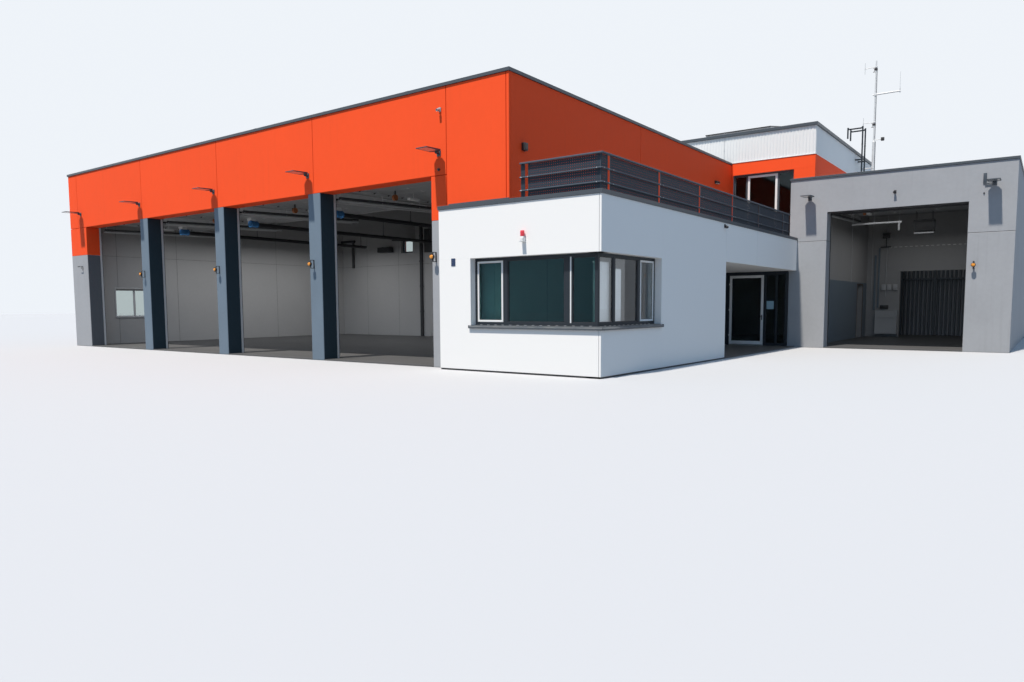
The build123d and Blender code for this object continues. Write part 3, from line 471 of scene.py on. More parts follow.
# The finishes of this building: colour or one of the panel's settings, roughness, tone and its
# scale, grain and its scale, and what else differs from the plain finish
FINISHES = {
    "rail_metal": ((0.085, 0.105, 0.135), 0.5, 0.05, 3.0, 0.0001, 900,
        dict(dust=0.2, specular=0.2)),
    "rail_sheet": ((0.030, 0.041, 0.058), 0.6, 0.06, 3.0, 0.0001, 900, dict(specular=0.2)),
    "frame_paint": ((0.020, 0.027, 0.036), 0.5, 0.05, 3.0, 0.0001, 900, dict(specular=0.25)),
    "plate_blue": ((0.010, 0.030, 0.090), 0.4, 0.04, 9.0, 0, 0, {}),
    # Painted shade: near-black sheets that stand for the shade on the column and pier faces inside
    # the gate openings
    "slate_reveal": ((0.026, 0.045, 0.060), 0.75, 0.08, 1.1, 0.0003, 140, dict(specular=0.15)),
    "pier_reveal": ((0.115, 0.125, 0.140), 0.8, 0.08, 1.1, 0.0004, 140, dict(specular=0.15)),
    "reel_orange": ((0.34, 0.11, 0.03), 0.5, 0.08, 9.0, 0, 0, {}),
    "lamp_metal": ((0.045, 0.06, 0.08), 0.4, 0.06, 6.0, 0.0001, 900, dict(dust=0.2)),
    "lamp_pane": ((0.30, 0.32, 0.34), 0.15, 0.05, 30.0, 0, 0, dict(coat=0.4)),
    "orange_paint": ("orange", 0.7, 0.04, 0.5, 0.0004, 160,
        dict(rain=0.05, rain_colour=(0.25, 0.05, 0.02), specular=0.2)),
    "grey_concrete": ("grey", 0.78, 0.09, 0.9, 0.0006, 120,
        dict(rain=0.10, dust=0.25, specular=0.2)),
    "slate_concrete": ("slate", 0.6, 0.10, 1.1, 0.0005, 140,
        dict(rain=0.06, rain_colour=(0.2, 0.22, 0.24), specular=0.2)),
    "white_render": ("render", 0.85, 0.025, 0.6, 0.0008, 260,
        dict(rain=0.05, rain_colour=(0.45, 0.43, 0.40), specular=0.2)),
    "anthracite_metal": ("anthracite", 0.42, 0.06, 2.0, 0.00015, 900, dict(dust=0.35)),
    "white_sheet": ("white_sheet", 0.4, 0.025, 1.0, 0.0001, 500, {}),
    "inner_concrete": ("inner_wall", 0.8, 0.07, 0.7, 0.0006, 110, dict(rain=0.03)),
    "hall_panels": ("inner_wall", 0.8, 0.07, 0.7, 0.0006, 110,
        dict(lines=((0, 2.25, 0.9, 0.012), (1, 2.5, -11.15, 0.012), (2, 3.5, 0.0, 0.010)),
            line_depth=0.004)),
    # Floor: dark grey, partly its own colour and partly painted shade
    "floor_finish": ("floor", 0.5, 0.12, 0.6, 0.0003, 180,
        dict(lines=((0, 4.5, 0.25, 0.008), (1, 4.5, -12.1, 0.008)), line_depth=0.003)),
    "galvanised": ((0.50, 0.51, 0.52), 0.42, 0.22, 9.0, 0.0001, 300,
        dict(metal=0.85, rough_swing=0.35)),
    "black_metal": ((0.012, 0.012, 0.014), 0.45, 0.12, 3.0, 0.0001, 600, {}),
    "bright_aluminium": ((0.62, 0.64, 0.66), 0.34, 0.05, 4.0, 0.00005, 900, dict(metal=0.9)),
    "gate_sheet": ((0.36, 0.37, 0.38), 0.45, 0.05, 1.5, 0.0003, 420,
        dict(lines=((1, 0.14, 0.0, 0.006),), line_depth=0.002, line_colour=0.6)),
    "blue_paint": ("blue", 0.35, 0.06, 4.0, 0, 0, dict(coat=0.3)),
    "roof_membrane": ((0.13, 0.135, 0.14), 0.9, 0.2, 0.5, 0.0003, 120,
        dict(dust=0.3, specular=0.15)),
    "deck_concrete": ((0.34, 0.34, 0.33), 0.85, 0.12, 1.0, 0.0005, 90, dict(specular=0.2)),
    "solar_glass": ((0.008, 0.012, 0.028), 0.12, 0.1, 6.0, 0, 0,
        dict(lines=((0, 0.16, 0.02, 0.004), (1, 0.16, 0.03, 0.004)), line_depth=0.0005,
            line_colour=14.0, coat=0.4)),
    "amber_plastic": ("amber", 0.18, 0.05, 20.0, 0, 0,
        dict(coat=0.6, lines=((2, 0.012, 0.0, 0.003),), line_depth=0.001, line_colour=0.6)),
    "red_plastic": ("red", 0.16, 0.05, 20.0, 0, 0, dict(coat=0.6)),
    "door_paint": ((0.84, 0.85, 0.85), 0.32, 0.03, 3.0, 0.00005, 900, dict(coat=0.2)),
    "track_steel": ((0.58, 0.59, 0.60), 0.42, 0.12, 7.0, 0.0001, 400,
        dict(metal=0.25, rough_swing=0.3)),
    "spring_steel": ((0.22, 0.22, 0.23), 0.4, 0.1, 5.0, 0.0005, 500,
        dict(metal=0.6, lines=((0, 0.012, 0.0, 0.005),), line_depth=0.003, line_colour=0.5)),
    "mast_steel": ((0.62, 0.63, 0.64), 0.5, 0.15, 6.0, 0.0001, 300, dict(metal=0.2)),
    "ceiling_sheet": ((0.62, 0.63, 0.63), 0.55, 0.05, 1.2, 0.0002, 300, {}),
    "lamp_tube": ((0.90, 0.90, 0.88), 0.2, 0.02, 10.0, 0, 0, dict(coat=0.3)),
    "duct_metal": ((0.045, 0.048, 0.052), 0.5, 0.1, 3.0, 0.0002, 400, dict(dust=0.2)),
    "window_grey": ((0.55, 0.56, 0.57), 0.4, 0.03, 3.0, 0.0001, 700, {}),
    "dado_paint": ((0.19, 0.24, 0.29), 0.5, 0.06, 0.8, 0.0004, 160,
        dict(rain=0.05, rain_colour=(0.3, 0.3, 0.3))),
    "lining_wood": ((0.14, 0.08, 0.045), 0.5, 0.15, 4.0, 0.0003, 90, {}),
    "store_sheet": ((0.10, 0.125, 0.15), 0.45, 0.06, 1.0, 0.0002, 300, {}),
    "blind_plastic": ((0.88, 0.86, 0.82), 0.7, 0.03, 4.0, 0.0002, 500, {}),
    "blue_plate": ((0.33, 0.52, 0.62), 0.3, 0.04, 5.0, 0, 0, dict(coat=0.3)),
}

# Glass: what it lets through, and the tint of its gleam
GLASSES = {
    "clear_glass": ((0.50, 0.56, 0.54), (0.6, 0.7, 0.75)),
    # Painted reflection: a dark teal tint and teal gleam that stand for the surroundings reflected
    # in the front panes
    "dark_glass": ((0.24, 0.42, 0.43), (0.25, 0.5, 0.6)),
    # Painted reflection: a pale blue tint that stands for the sky reflected in the side panes
    "side_glass": ((0.86, 0.93, 1.0),),
}


def paint(name):
    """The finish of this name, made when it is first used."""
    material = bpy.data.materials.get(name)
    if material:
        return material
    material = bpy.data.materials.new(name)
    material.use_nodes = True
    tree = material.node_tree
    shader = tree.nodes["Principled BSDF"]
    if name in GLASSES:
        glass_finish(tree, shader, *GLASSES[name])
        return material
    colour, *values, extras = FINISHES[name]
    if isinstance(colour, str):
        colour = getattr(colours(), colour)
    finish(tree, shader, colour, *values, **extras)
    return material


NODE_FINISHES = {
    "orange_paint": ("fascia_cladding", "hall_side_cladding", "block_orange_cladding"),
    "grey_concrete": ("hall_end_piers", "wash_front", "wash_right_wall", "store_walls",
        "block_front_wall", "block_left_wall", "block_rear_wall"),
    "slate_concrete": ("gate_column_1", "gate_column_2", "gate_column_3"),
    "white_render": ("annex_front_wall", "annex_side_wall", "annex_rear_wall", "entrance_canopy"),
    "anthracite_metal": ("hall_coping", "terrace_coping", "wash_coping", "corner_window_frame",
        "entrance_frame", "terrace_door_frame", "window_sill", "window_frames", "block_roof",
        "floodlights", "railing_front", "railing_side", "vent_pipes"),
    "white_sheet": ("block_white_cladding", "corner_window_sashes", "terrace_door_sash"),
    "inner_concrete": ("fascia_beam", "wash_partition", "block_right_wall", "upper_floor",
        "roof_girders"),
    "hall_panels": ("hall_left_wall", "hall_back_wall", "hall_right_wall"),
    # The floor's dark colour is partly painted shade
    "floor_finish": ("floor_slabs",),
    "track_steel": ("gate_tracks",),
    "galvanised": ("antenna_mast",),
    "black_metal": ("exhaust_rails", "gate_beacon_brackets"),
    "bright_aluminium": ("entrance_door_leaf", "entrance_door_handle"),
    "gate_sheet": ("raised_gates",),
    "blue_paint": ("exhaust_rail_ends",),
    "roof_membrane": ("flat_roofs",),
    "deck_concrete": ("terrace_deck",),
    "solar_glass": ("solar_panels",),
    "amber_plastic": ("gate_beacon_lenses",),
    "red_plastic": ("alarm_light",),
    # The corner window's front glass carries painted reflection
    "dark_glass": ("corner_window_glass",),
    "clear_glass": ("entrance_door_glass", "window_glass"),
}


class STATION_OT_stage(bpy.types.Operator):
    """Floor, light and camera"""
    bl_idname = "station.stage"
    bl_label = "Stage"

    def plain_view(self, tree, path):
        """One where the camera looks, straight or through glass or in a reflection."""
        rays = [path.outputs[f"Is {kind} Ray"] for kind in ("Camera", "Glossy", "Transmission")]
        return maths(tree, "MAXIMUM", rays[0], maths(tree, "MAXIMUM", rays[1], rays[2]))

    def fill(self, name, x, y, z, wide, deep, power):
        """A soft lamp under a roof, which the camera doesn't see."""
        lone()
        bpy.ops.object.light_add(type="AREA", location=place(x, y, z))
        lamp = bpy.context.object
        lamp.name = name
        lamp.data.shape = "RECTANGLE"
        lamp.data.size = wide
        lamp.data.size_y = deep
        lamp.data.energy = power
        lamp.visible_camera = False
        lamp.visible_glossy = False
        lamp.visible_transmission = False

    def execute(self, context):
        scene = context.scene
        scene.view_settings.view_transform = "Standard"
        lone()
        bpy.ops.mesh.primitive_plane_add(size=400, location=(0, 60, -0.002))
        floor = settle(context.object)
        floor.name = "stage_floor"
        material = bpy.data.materials.new("stage_floor")
        material.use_nodes = True
        shader = material.node_tree.nodes["Principled BSDF"]
        tree = material.node_tree
        path = add(tree, "ShaderNodeLightPath")
        seen = self.plain_view(tree, path)
        shade = mix_colour(tree, seen, (0.20, 0.20, 0.20, 1), (0.47, 0.48, 0.50, 1))
        tree.links.new(shade, shader.inputs["Base Color"])
        shader.inputs["Roughness"].default_value = 0.9
        floor.data.materials.append(material)
        lone()
        bpy.ops.object.light_add(type="SUN", location=(-12, -40, 50))
        sun = context.object
        sun.name = "stage_sun"
        sun.data.energy = 5.1
        sun.data.color = (1.0, 0.92, 0.82)
        sun.data.angle = math.radians(2)
        way = Vector((0.12, 1.0, -2.1))
        sun.rotation_euler = Vector((0, 0, -1)).rotation_difference(way).to_euler()
        for i, x in enumerate((-20.2, -15.7, -11.2, -6.7)):
            self.fill(f"stage_fill_{i + 1}", x, 7.4, 4.3, 2.5, 9.0, 90 if i else 160)
        self.fill("stage_fill_wash", 3.0, 18.4, 4.4, 3.0, 7.0, 42)
        self.fill("stage_fill_store", 3.0, 24.6, 4.4, 3.0, 2.0, 6)
        world = bpy.data.worlds.new("stage_world")
        scene.world = world
        world.use_nodes = True
        tree = world.node_tree
        light = tree.nodes["Background"]
        light.inputs["Color"].default_value = (0.37, 0.64, 1.0, 1)
        light.inputs["Strength"].default_value = 0.56
        pale = add(tree, "ShaderNodeBackground", {"Color": (0.86, 0.90, 0.95, 1), "Strength": 1.0})
        path = add(tree, "ShaderNodeLightPath")
        seen = self.plain_view(tree, path)
        mix = add(tree, "ShaderNodeMixShader", {0: seen, 1: light.outputs[0], 2: pale.outputs[0]})
        tree.links.new(mix.outputs[0], tree.nodes["World Output"].inputs["Surface"])
        lone()
        bpy.ops.object.camera_add(location=CAMERA_PLACE)
        camera = context.object
        camera.name = "stage_camera"
        yaw, pitch, roll = (math.radians(a) for a in (CAMERA_YAW, CAMERA_PITCH, CAMERA_ROLL))
        ahead = Vector((math.sin(yaw) * math.cos(pitch), math.cos(yaw) * math.cos(pitch),
            math.sin(pitch)))
        side = Vector((math.cos(yaw), -math.sin(yaw), 0))
        up = side.cross(ahead)
        right = side * math.cos(roll) + up * math.sin(roll)
        top = up * math.cos(roll) - side * math.sin(roll)
        camera.rotation_euler = Matrix((right, top, -ahead)).transposed().to_euler()
        camera.data.sensor_width = SENSOR_W
        camera.data.lens = CAMERA_LENS
        camera.data.shift_y = CAMERA_SHIFT
        camera.data.clip_end = 500
        scene.camera = camera
        return {"FINISHED"}


class STATION_OT_node_finishes(bpy.types.Operator):
    """Finishes on the pieces of the fixed model"""
    bl_idname = "station.node_finishes"
    bl_label = "Finishes"

    def execute(self, context):
        for finish_name, names in NODE_FINISHES.items():
            for name in names:
                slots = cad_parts[name].material_slots
                for slot in slots:
                    slot.material = paint(finish_name)
        return {"FINISHED"}


def block(x0, x1, y0, y1, z0, z1, edge=0.0, segments=1):
    """A straight block between planes that are given from the annex's corner."""
    return bar(place(x0, y0, z0), place(x1, y1, z1), edge, segments)


def blocks(rows, edge=0.0, segments=1):
    return [block(*row, edge, segments) for row in rows]


def post(start, end, radius, sides=16, end_radius=None):
    """A round bar or cone between two points that are given from the annex's corner."""
    return rod(place(*start), place(*end), radius, sides, end_radius)


def upright(x, y, z0, z1, radius, sides=16, end_radius=None):
    return rod(place(x, y, z0), place(x, y, z1), radius, sides, end_radius)


def pick(piece, kind, test):
    """Selects the corners or faces that pass the test, and opens the piece for editing."""
    only(piece)
    edit_mode()
    bpy.ops.mesh.select_mode(type="FACE" if kind == "faces" else "VERT")
    bpy.ops.mesh.select_all(action="DESELECT")
    object_mode()
    parts = piece.data.polygons if kind == "faces" else piece.data.vertices
    for part in parts:
        part.select = test(part.center if kind == "faces" else part.co)
    edit_mode()


def nudge(piece, test, offset):
    """Moves the corners that pass the test."""
    pick(piece, "corners", test)
    bpy.ops.transform.translate(value=offset)
    object_mode()
    return piece


def dish(piece, test, rim, depth):
    """Insets the faces that pass the test and pushes them in."""
    pick(piece, "faces", test)
    bpy.ops.mesh.inset(thickness=rim, depth=-depth)
    object_mode()
    return piece


def build_facade_panels():
    half = sizes().panel_gap / 2
    edge = sizes().panel_edge
    t = CLADDING_T
    pieces = []
    joints = [ANNEX_X1 + x for x in (-22.87, -18.1, -13.55, -9.02, -4.28)]
    front = [HALL_X0 - half] + joints + [HALL_X1 - 0.08, HALL_X1 + half]
    for a, b in zip(front, front[1:]):
        low = ANNEX_Z if a >= joints[-1] else GATE_Z
        pieces.append(bar((a + half, HALL_Y0, low), (b - half, HALL_Y0 + t, HALL_Z), edge))
    under = [HALL_X0 + t - half] + [(c[0][0] + c[1][0]) / 2 for c in COLUMNS]
    under += [RIGHT_PIER_X + half, HALL_X1 - t + half]
    pieces += [bar((a + half, HALL_Y0 + t, GATE_Z), (b - half, FRONT_Y1, GATE_Z + t), edge)
        for a, b in zip(under, under[1:])]
    pieces += bars([(HALL_X0, GATE_XS[0], HALL_Y0, FRONT_Y1, PIER_Z, GATE_Z - 2 * half),
        (RIGHT_PIER_X, joints[-1] - half, HALL_Y0, FRONT_Y1, PIER_Z, GATE_Z - 2 * half),
        (joints[-1] + half, HALL_IN_X1, HALL_Y0 + t, FRONT_Y1, PIER_Z, GATE_Z - 2 * half),
        (joints[-1] + half, HALL_IN_X1, HALL_Y0, HALL_Y0 + t, PIER_Z, ANNEX_Z),
        (HALL_IN_X1, HALL_X1 - t, HALL_Y0 + t, FRONT_Y1, ANNEX_Z, GATE_Z - 2 * half)], edge)
    flank = [HALL_Y0 + t - half, ANNEX_Y0 + 3.66, ANNEX_Y0 + 6.99, ANNEX_Y0 + 10.32,
        HALL_Y1 + half]
    for a, b in zip(flank, flank[1:]):
        start = a + half
        if a == flank[0]:
            pieces += bars([(HALL_X0, HALL_X0 + t, start, b - half, GATE_Z, HALL_Z),
                (HALL_X0, HALL_X0 + t, FRONT_Y1, b - half, PIER_Z, GATE_Z - 2 * half)], edge)
        else:
            pieces.append(bar((HALL_X0, start, PIER_Z), (HALL_X0 + t, b - half, HALL_Z), edge))
    back = [HALL_X0 + t - half] + [HALL_X0 + x for x in (4.65, 5.45, 9.0, 12.5)]
    back.append(BLOCK[0][0] + half)
    for i, (a, b) in enumerate(zip(back, back[1:])):
        spans = ((PIER_Z, 4.07), (4.70, HALL_Z)) if i == 1 else ((PIER_Z, HALL_Z),)
        for z0, z1 in spans:
            x0 = a if i == 1 else a + half
            x1 = b if i == 1 else b - half
            pieces.append(bar((x0, HALL_Y1 - t, z0), (x1, HALL_Y1, z1), edge))
    side = [HALL_Y0 + t - half, ANNEX_Y0 + 6.6, HALL_Y1 + half]
    pieces += [bar((HALL_X1 - t, a + half, ANNEX_Z), (HALL_X1, b - half, HALL_Z), edge)
        for a, b in zip(side, side[1:])]
    merge("facade_panels", pieces, "orange_paint", "orange_panel", "fascia_cladding",
        "hall_side_cladding")


class STATION_OT_facade_panels(bpy.types.Operator):
    """Orange panels with open joints on the hall's front and flanks"""
    bl_idname = "station.facade_panels"
    bl_label = "Facade panels"

    def execute(self, context):
        build_facade_panels()
        return {"FINISHED"}


def build_piers_and_columns():
    edge = sizes().column_edge
    merge("gate_columns", [bar(c[0], c[1], edge) for c in COLUMNS], "slate_concrete",
        "column_slate", "gate_column_1", "gate_column_2", "gate_column_3")
    piers = bars([(HALL_X0, GATE_XS[0], HALL_Y0, FRONT_Y1, 0, PIER_Z),
        (RIGHT_PIER_X, HALL_IN_X1, HALL_Y0, FRONT_Y1, 0, PIER_Z)], edge)
    merge("end_piers", piers, "grey_concrete", "concrete_grey", "hall_end_piers")

    def reveal(x, way, top):
        """A thin dark sheet of painted shade on a face that looks into a gate opening."""
        a, b = sorted((x - way * 0.004, x + way * 0.003))
        return bar((a, HALL_Y0 + edge + 0.002, 0.01), (b, FRONT_Y1 - edge, top - edge), 0.001)

    # Painted shade: dark sheets on the columns' and piers' faces inside the gate openings
    painted_shades = [reveal(c[i][0], way, GATE_Z) for c in COLUMNS for i, way in ((0, -1), (1, 1))]
    merge("column_reveals", painted_shades, "slate_reveal", "column_slate")
    merge("pier_reveals", [reveal(GATE_XS[0], 1, PIER_Z), reveal(RIGHT_PIER_X, -1, PIER_Z)],
        "pier_reveal", "concrete_grey")


class STATION_OT_piers_and_columns(bpy.types.Operator):
    """Chamfered gate columns and end piers, with dark sheets of painted shade on their faces
    inside the gate openings
    """
    bl_idname = "station.piers_and_columns"
    bl_label = "Piers and columns"

    def execute(self, context):
        build_piers_and_columns()
        return {"FINISHED"}


def build_column_guides():
    for name, near, far, y0, y1, top, edge, segments, material, slot in (("gate_side_guides",
            0.002, 0.055, -0.001, 0.07, 0.1, 0.004, 1, "window_grey", "white_metal"),
            ("gate_seals", 0.004, 0.045, 0.069, 0.088, 0.05, 0.006, 2, "black_metal",
            "black_metal")):
        strips = []
        for x in GATE_XS:
            for edge_x, way in ((x, -1), (x + GATE_W, 1)):
                a, b = sorted((edge_x + way * near, edge_x + way * far))
                strips.append(bar((a, FRONT_Y1 + y0, 0.03), (b, FRONT_Y1 + y1, GATE_Z + top), edge,
                    segments))
        merge(name, strips, material, slot)


class STATION_OT_column_guides(bpy.types.Operator):
    """Seals and guide rails behind the gate openings, up to the heads"""
    bl_idname = "station.column_guides"
    bl_label = "Gate guides"

    def execute(self, context):
        build_column_guides()
        return {"FINISHED"}


def perforated(length, height, pitch, hole, thick):
    """A sheet with round holes in rows, along x and z from the origin."""
    across, up = max(1, round(length / pitch)), max(1, round(height / pitch))
    lone()
    bpy.ops.mesh.primitive_circle_add(vertices=8, radius=hole / 2, fill_type="NOTHING",
        rotation=(math.pi / 2, 0, 0))
    sheet = settle(bpy.context.object)
    edit_mode()
    bpy.ops.mesh.select_all(action="DESELECT")
    bpy.ops.mesh.primitive_circle_add(vertices=8, radius=math.sqrt(0.5), fill_type="NOTHING",
        rotation=(math.pi / 2, 0, 0))
    object_mode()

    def middle_of_side(corner):
        return corner.length > hole and min(abs(corner.x), abs(corner.z)) < 0.01

    pick(sheet, "corners", middle_of_side)
    bpy.ops.transform.resize(value=(math.sqrt(0.5),) * 3, center_override=(0, 0, 0))
    object_mode()
    pick(sheet, "corners", lambda corner: corner.length > hole)
    bpy.ops.transform.resize(value=(length / across, 1, height / up), center_override=(0, 0, 0))
    bpy.ops.mesh.select_all(action="SELECT")
    bpy.ops.mesh.bridge_edge_loops()
    bpy.ops.mesh.select_all(action="SELECT")
    bpy.ops.transform.translate(value=(length / across / 2, 0, height / up / 2))
    object_mode()
    for count, offset in ((across, (length / across, 0, 0)), (up, (0, 0, height / up))):
        if count > 1:
            modify(sheet, "ARRAY", count=count, use_relative_offset=False,
                use_constant_offset=True, constant_offset_displace=offset, use_merge_vertices=True,
                merge_threshold=0.0005)
    modify(sheet, "SOLIDIFY", thickness=thick, offset=0)
    return sheet


RAILS = ((4.373, 4.405), (4.092, 4.114), (3.822, 3.844))
RAIL_W = 0.06
RAILING_IN = 0.045
FRONT_STRIPS = ((-1.947, -1.841), (-1.766, -0.059))
SIDE_GAPS = ((0.317, 0.417), (2.6125, 2.7075), (4.9125, 5.0075), (7.2075, 7.3025),
    (9.4025, 9.4975), (11.8225, 11.9175))
SIDE_END = 12.5
SHEET_Z = (3.705, 4.37)


def strip_ends():
    starts = [RAILING_IN] + [g[1] for g in SIDE_GAPS]
    return list(zip(starts, [g[0] for g in SIDE_GAPS] + [SIDE_END]))


def railing_sheets():
    front = []
    for a, b in FRONT_STRIPS:
        sheet = perforated(b - a, SHEET_Z[1] - SHEET_Z[0], 0.05, 0.015, 0.003)
        sheet.location = place(a, RAILING_IN + 0.002, SHEET_Z[0])
        front.append(settle(sheet))
    side = []
    for a, b in strip_ends():
        sheet = perforated(b - a, SHEET_Z[1] - SHEET_Z[0], 0.05, 0.015, 0.003)
        sheet.rotation_euler = (0, 0, math.pi / 2)
        sheet.location = place(-RAILING_IN - 0.002, a, SHEET_Z[0])
        side.append(settle(sheet))
    return front, side


def build_railing():
    edge = sizes().metal_edge
    sheets = railing_sheets()
    for place_name, parts in zip(("front", "side"), sheets):
        merge(f"railing_sheets_{place_name}", parts, "rail_sheet", "dark_metal")
    front, side, bolts = [], [], []
    x0, x1 = FRONT_STRIPS[0][0], RAIL_W - RAILING_IN
    y0, y1 = RAILING_IN - RAIL_W, SIDE_END
    for z0, z1 in RAILS:
        front.append(block(x0, x1, y0, RAILING_IN, z0, z1, edge * 2))
        side.append(block(-RAILING_IN, x1, RAILING_IN, y1, z0, z1, edge * 2))
    ends = [x for strip in FRONT_STRIPS for x in (strip[0] + 0.03, strip[1] - 0.05)]
    for x in ends:
        front += blocks([(x - 0.03, x + 0.03, RAILING_IN + 0.004, RAILING_IN + 0.014, 3.70, 4.40),
            (x - 0.05, x + 0.05, RAILING_IN + 0.002, RAILING_IN + 0.09, 3.70, 3.71)], edge)
        for z0, z1 in RAILS[1:]:
            z = (z0 + z1) / 2
            bolts.append(post((x, RAILING_IN - RAIL_W - 0.004, z), (x, RAILING_IN - RAIL_W, z),
                0.009, 6))
    for a, b in strip_ends():
        for y in (a + 0.03, b - 0.03):
            side += blocks([(-RAILING_IN - 0.014, -RAILING_IN - 0.004, y - 0.03, y + 0.03, 3.70,
                4.40), (-RAILING_IN - 0.09, -RAILING_IN - 0.002, y - 0.05, y + 0.05, 3.70, 3.71)],
                edge)
            for z0, z1 in RAILS[1:]:
                z = (z0 + z1) / 2
                bolts.append(post((RAIL_W - RAILING_IN, y, z), (RAIL_W - RAILING_IN + 0.004, y, z),
                    0.009, 6))
    merge("railing_front_dressed", front, "rail_metal", "dark_metal", "railing_front")
    merge("railing_side_dressed", side, "rail_metal", "dark_metal", "railing_side")
    merge("railing_bolts", [round_edges(bolt, 0.0015) for bolt in bolts], "bright_aluminium",
        "steel", smooth=30)


class STATION_OT_railing(bpy.types.Operator):
    """Perforated sheets, rails, flat posts and bolts of the terrace railing"""
    bl_idname = "station.railing"
    bl_label = "Railing"

    def execute(self, context):
        build_railing()
        return {"FINISHED"}


def taper(piece, test, offset, scale, centre):
    """Extrudes the faces that pass the test and narrows their end."""
    pick(piece, "faces", test)
    bpy.ops.mesh.extrude_region_move(TRANSFORM_OT_translate={"value": offset})
    bpy.ops.transform.resize(value=scale, center_override=centre)
    object_mode()
    return piece


HALL_LAMPS = [HALL_X0 + 0.90] + [c[0][0] + COLUMN_W / 2 - 0.235 for c in COLUMNS]
HALL_LAMPS.append(RIGHT_PIER_X + 0.26)
WASH_LAMPS = (WASH[0][0] + 0.634, WASH[0][0] + 5.803)
LAMP_Z = 5.0
LAMP_OUT = 0.60
LAMP_BACK = 0.08
LAMP_HALF = 0.1675


def floodlight(x, wall_y):
    edge = sizes().metal_edge
    out, back = wall_y - LAMP_OUT, wall_y - LAMP_BACK
    z = LAMP_Z
    head = bar((x - LAMP_HALF, out, z), (x + LAMP_HALF, back - 0.05, z + 0.035))
    taper(head, lambda c: c.y > back - 0.055, (0, 0.05, 0), (0.5, 1, 1), (x, back, z + 0.0175))
    nudge(head, lambda c: c.y < out + 0.1 and c.z > z + 0.01, (0, 0, -0.015))
    dish(head, lambda c: c.z < z + 0.002 and c.y < back - 0.09, 0.022, 0.006)
    pieces = [round_edges(head, edge * 1.5)]
    for i in range(6):
        fin_x = x - 0.105 + i * 0.042
        fin = bar((fin_x - 0.003, out + 0.30, z + 0.024), (fin_x + 0.003, back - 0.10, z + 0.035))
        pieces.append(round_edges(fin, 0.001))
    pieces += [rod((x - 0.045, back + 0.004, z - 0.008), (x + 0.045, back + 0.004, z - 0.008),
        0.027, 16), rod((x, back - 0.03, z - 0.03), (x, wall_y - 0.012, z - 0.03), 0.023, 16),
        rod((x, wall_y - 0.045, z - 0.03), (x, wall_y - 0.012, z - 0.03), 0.034, 16),
        bar((x - 0.06, wall_y - 0.014, z - 0.095), (x + 0.06, wall_y, z + 0.035), edge * 2, 2)]
    for dx in (-0.045, 0.045):
        for dz in (-0.08, 0.02):
            head = rod((x + dx, wall_y - 0.020, z + dz), (x + dx, wall_y - 0.014, z + dz), 0.007,
                6)
            pieces.append(round_edges(head, 0.001))
    return pieces


def build_floodlights():
    pieces = []
    wash_y = WASH[0][1]
    places = [(x, HALL_Y0) for x in HALL_LAMPS] + [(x, wash_y) for x in WASH_LAMPS]
    for x, wall_y in places:
        pieces += floodlight(x, wall_y)
    x = WASH_LAMPS[1] - 0.244
    mount = bar((x - 0.043, wash_y - 0.03, 4.977), (x + 0.043, wash_y, 5.277), 0.004, 2)
    arm = bar((x, wash_y - 0.05, LAMP_Z - 0.045),
        (WASH_LAMPS[1] - 0.06, wash_y - 0.016, LAMP_Z - 0.015), 0.004)
    merge("floodlights_dressed", pieces + [mount, arm], "lamp_metal", "dark_metal", "floodlights",
        smooth=35)
    panes = [bar((x - 0.142, wall_y - LAMP_OUT + 0.026, LAMP_Z + 0.001),
        (x + 0.142, wall_y - LAMP_BACK - 0.117, LAMP_Z + 0.005), 0.001) for x, wall_y in places]
    merge("floodlight_panes", panes, "lamp_pane", "glass")


class STATION_OT_floodlights(bpy.types.Operator):
    """Flat lamps on short arms, with tapered heads, knuckles and wall brackets"""
    bl_idname = "station.floodlights"
    bl_label = "Floodlights"

    def execute(self, context):
        build_floodlights()
        return {"FINISHED"}


BEACON_Z = 2.60
BEACON_PLACES = [(c[0][0] + 0.18, HALL_Y0) for c in COLUMNS] + [(RIGHT_PIER_X + 0.13, HALL_Y0)]
BEACON_PLACES.append((WASH[0][0] + 1.19 + 3.99 + 0.194, WASH[0][1]))


def bracket_loop(x, wall_y, z):
    """A flat ring of bar in an upright plane, opened through its middle."""
    ring = bar((x - 0.018, wall_y - 0.12, z - 0.115), (x + 0.018, wall_y, z + 0.115))
    pick(ring, "faces", lambda c: abs(c.x - x) > 0.017)
    bpy.ops.mesh.inset(thickness=0.014)
    bpy.ops.mesh.bridge_edge_loops()
    object_mode()
    return round_edges(ring, 0.003)


def build_gate_beacons():
    brackets, lenses = [], []
    for x, wall_y in BEACON_PLACES:
        z = BEACON_Z
        y = wall_y - 0.12
        brackets.append(bracket_loop(x, wall_y, z))
        housing = rod((x, y, z), (x, y - 0.05, z), 0.062, 28)
        dish(housing, lambda c: c.y < y - 0.049, 0.010, 0.006)
        brackets.append(round_edges(housing, 0.002))
        hood = rod((x, y - 0.044, z + 0.048), (x, y - 0.070, z + 0.050), 0.012, 12)
        brackets.append(round_edges(hood, 0.002))
        for dz in (-0.09, 0.09):
            bolt = rod((x, wall_y - 0.021, z + dz), (x, wall_y - 0.013, z + dz), 0.008, 6)
            brackets.append(round_edges(bolt, 0.001))
        lens = rod((x, y - 0.042, z), (x, y - 0.056, z), 0.050, 28)
        dome = ball((x, y - 0.054, z), 0.0495, (1, 0.38, 1), 28)
        lenses += [round_edges(lens, 0.002), dome]
    merge("beacon_brackets", brackets, "black_metal", "black_metal", "gate_beacon_brackets",
        smooth=35)
    merge("beacon_lenses", lenses, "amber_plastic", "amber", "gate_beacon_lenses", smooth=35)


class STATION_OT_gate_beacons(bpy.types.Operator):
    """Round amber lamps that face outward, on flat loops beside the gates"""
    bl_idname = "station.gate_beacons"
    bl_label = "Gate beacons"

    def execute(self, context):
        build_gate_beacons()
        return {"FINISHED"}


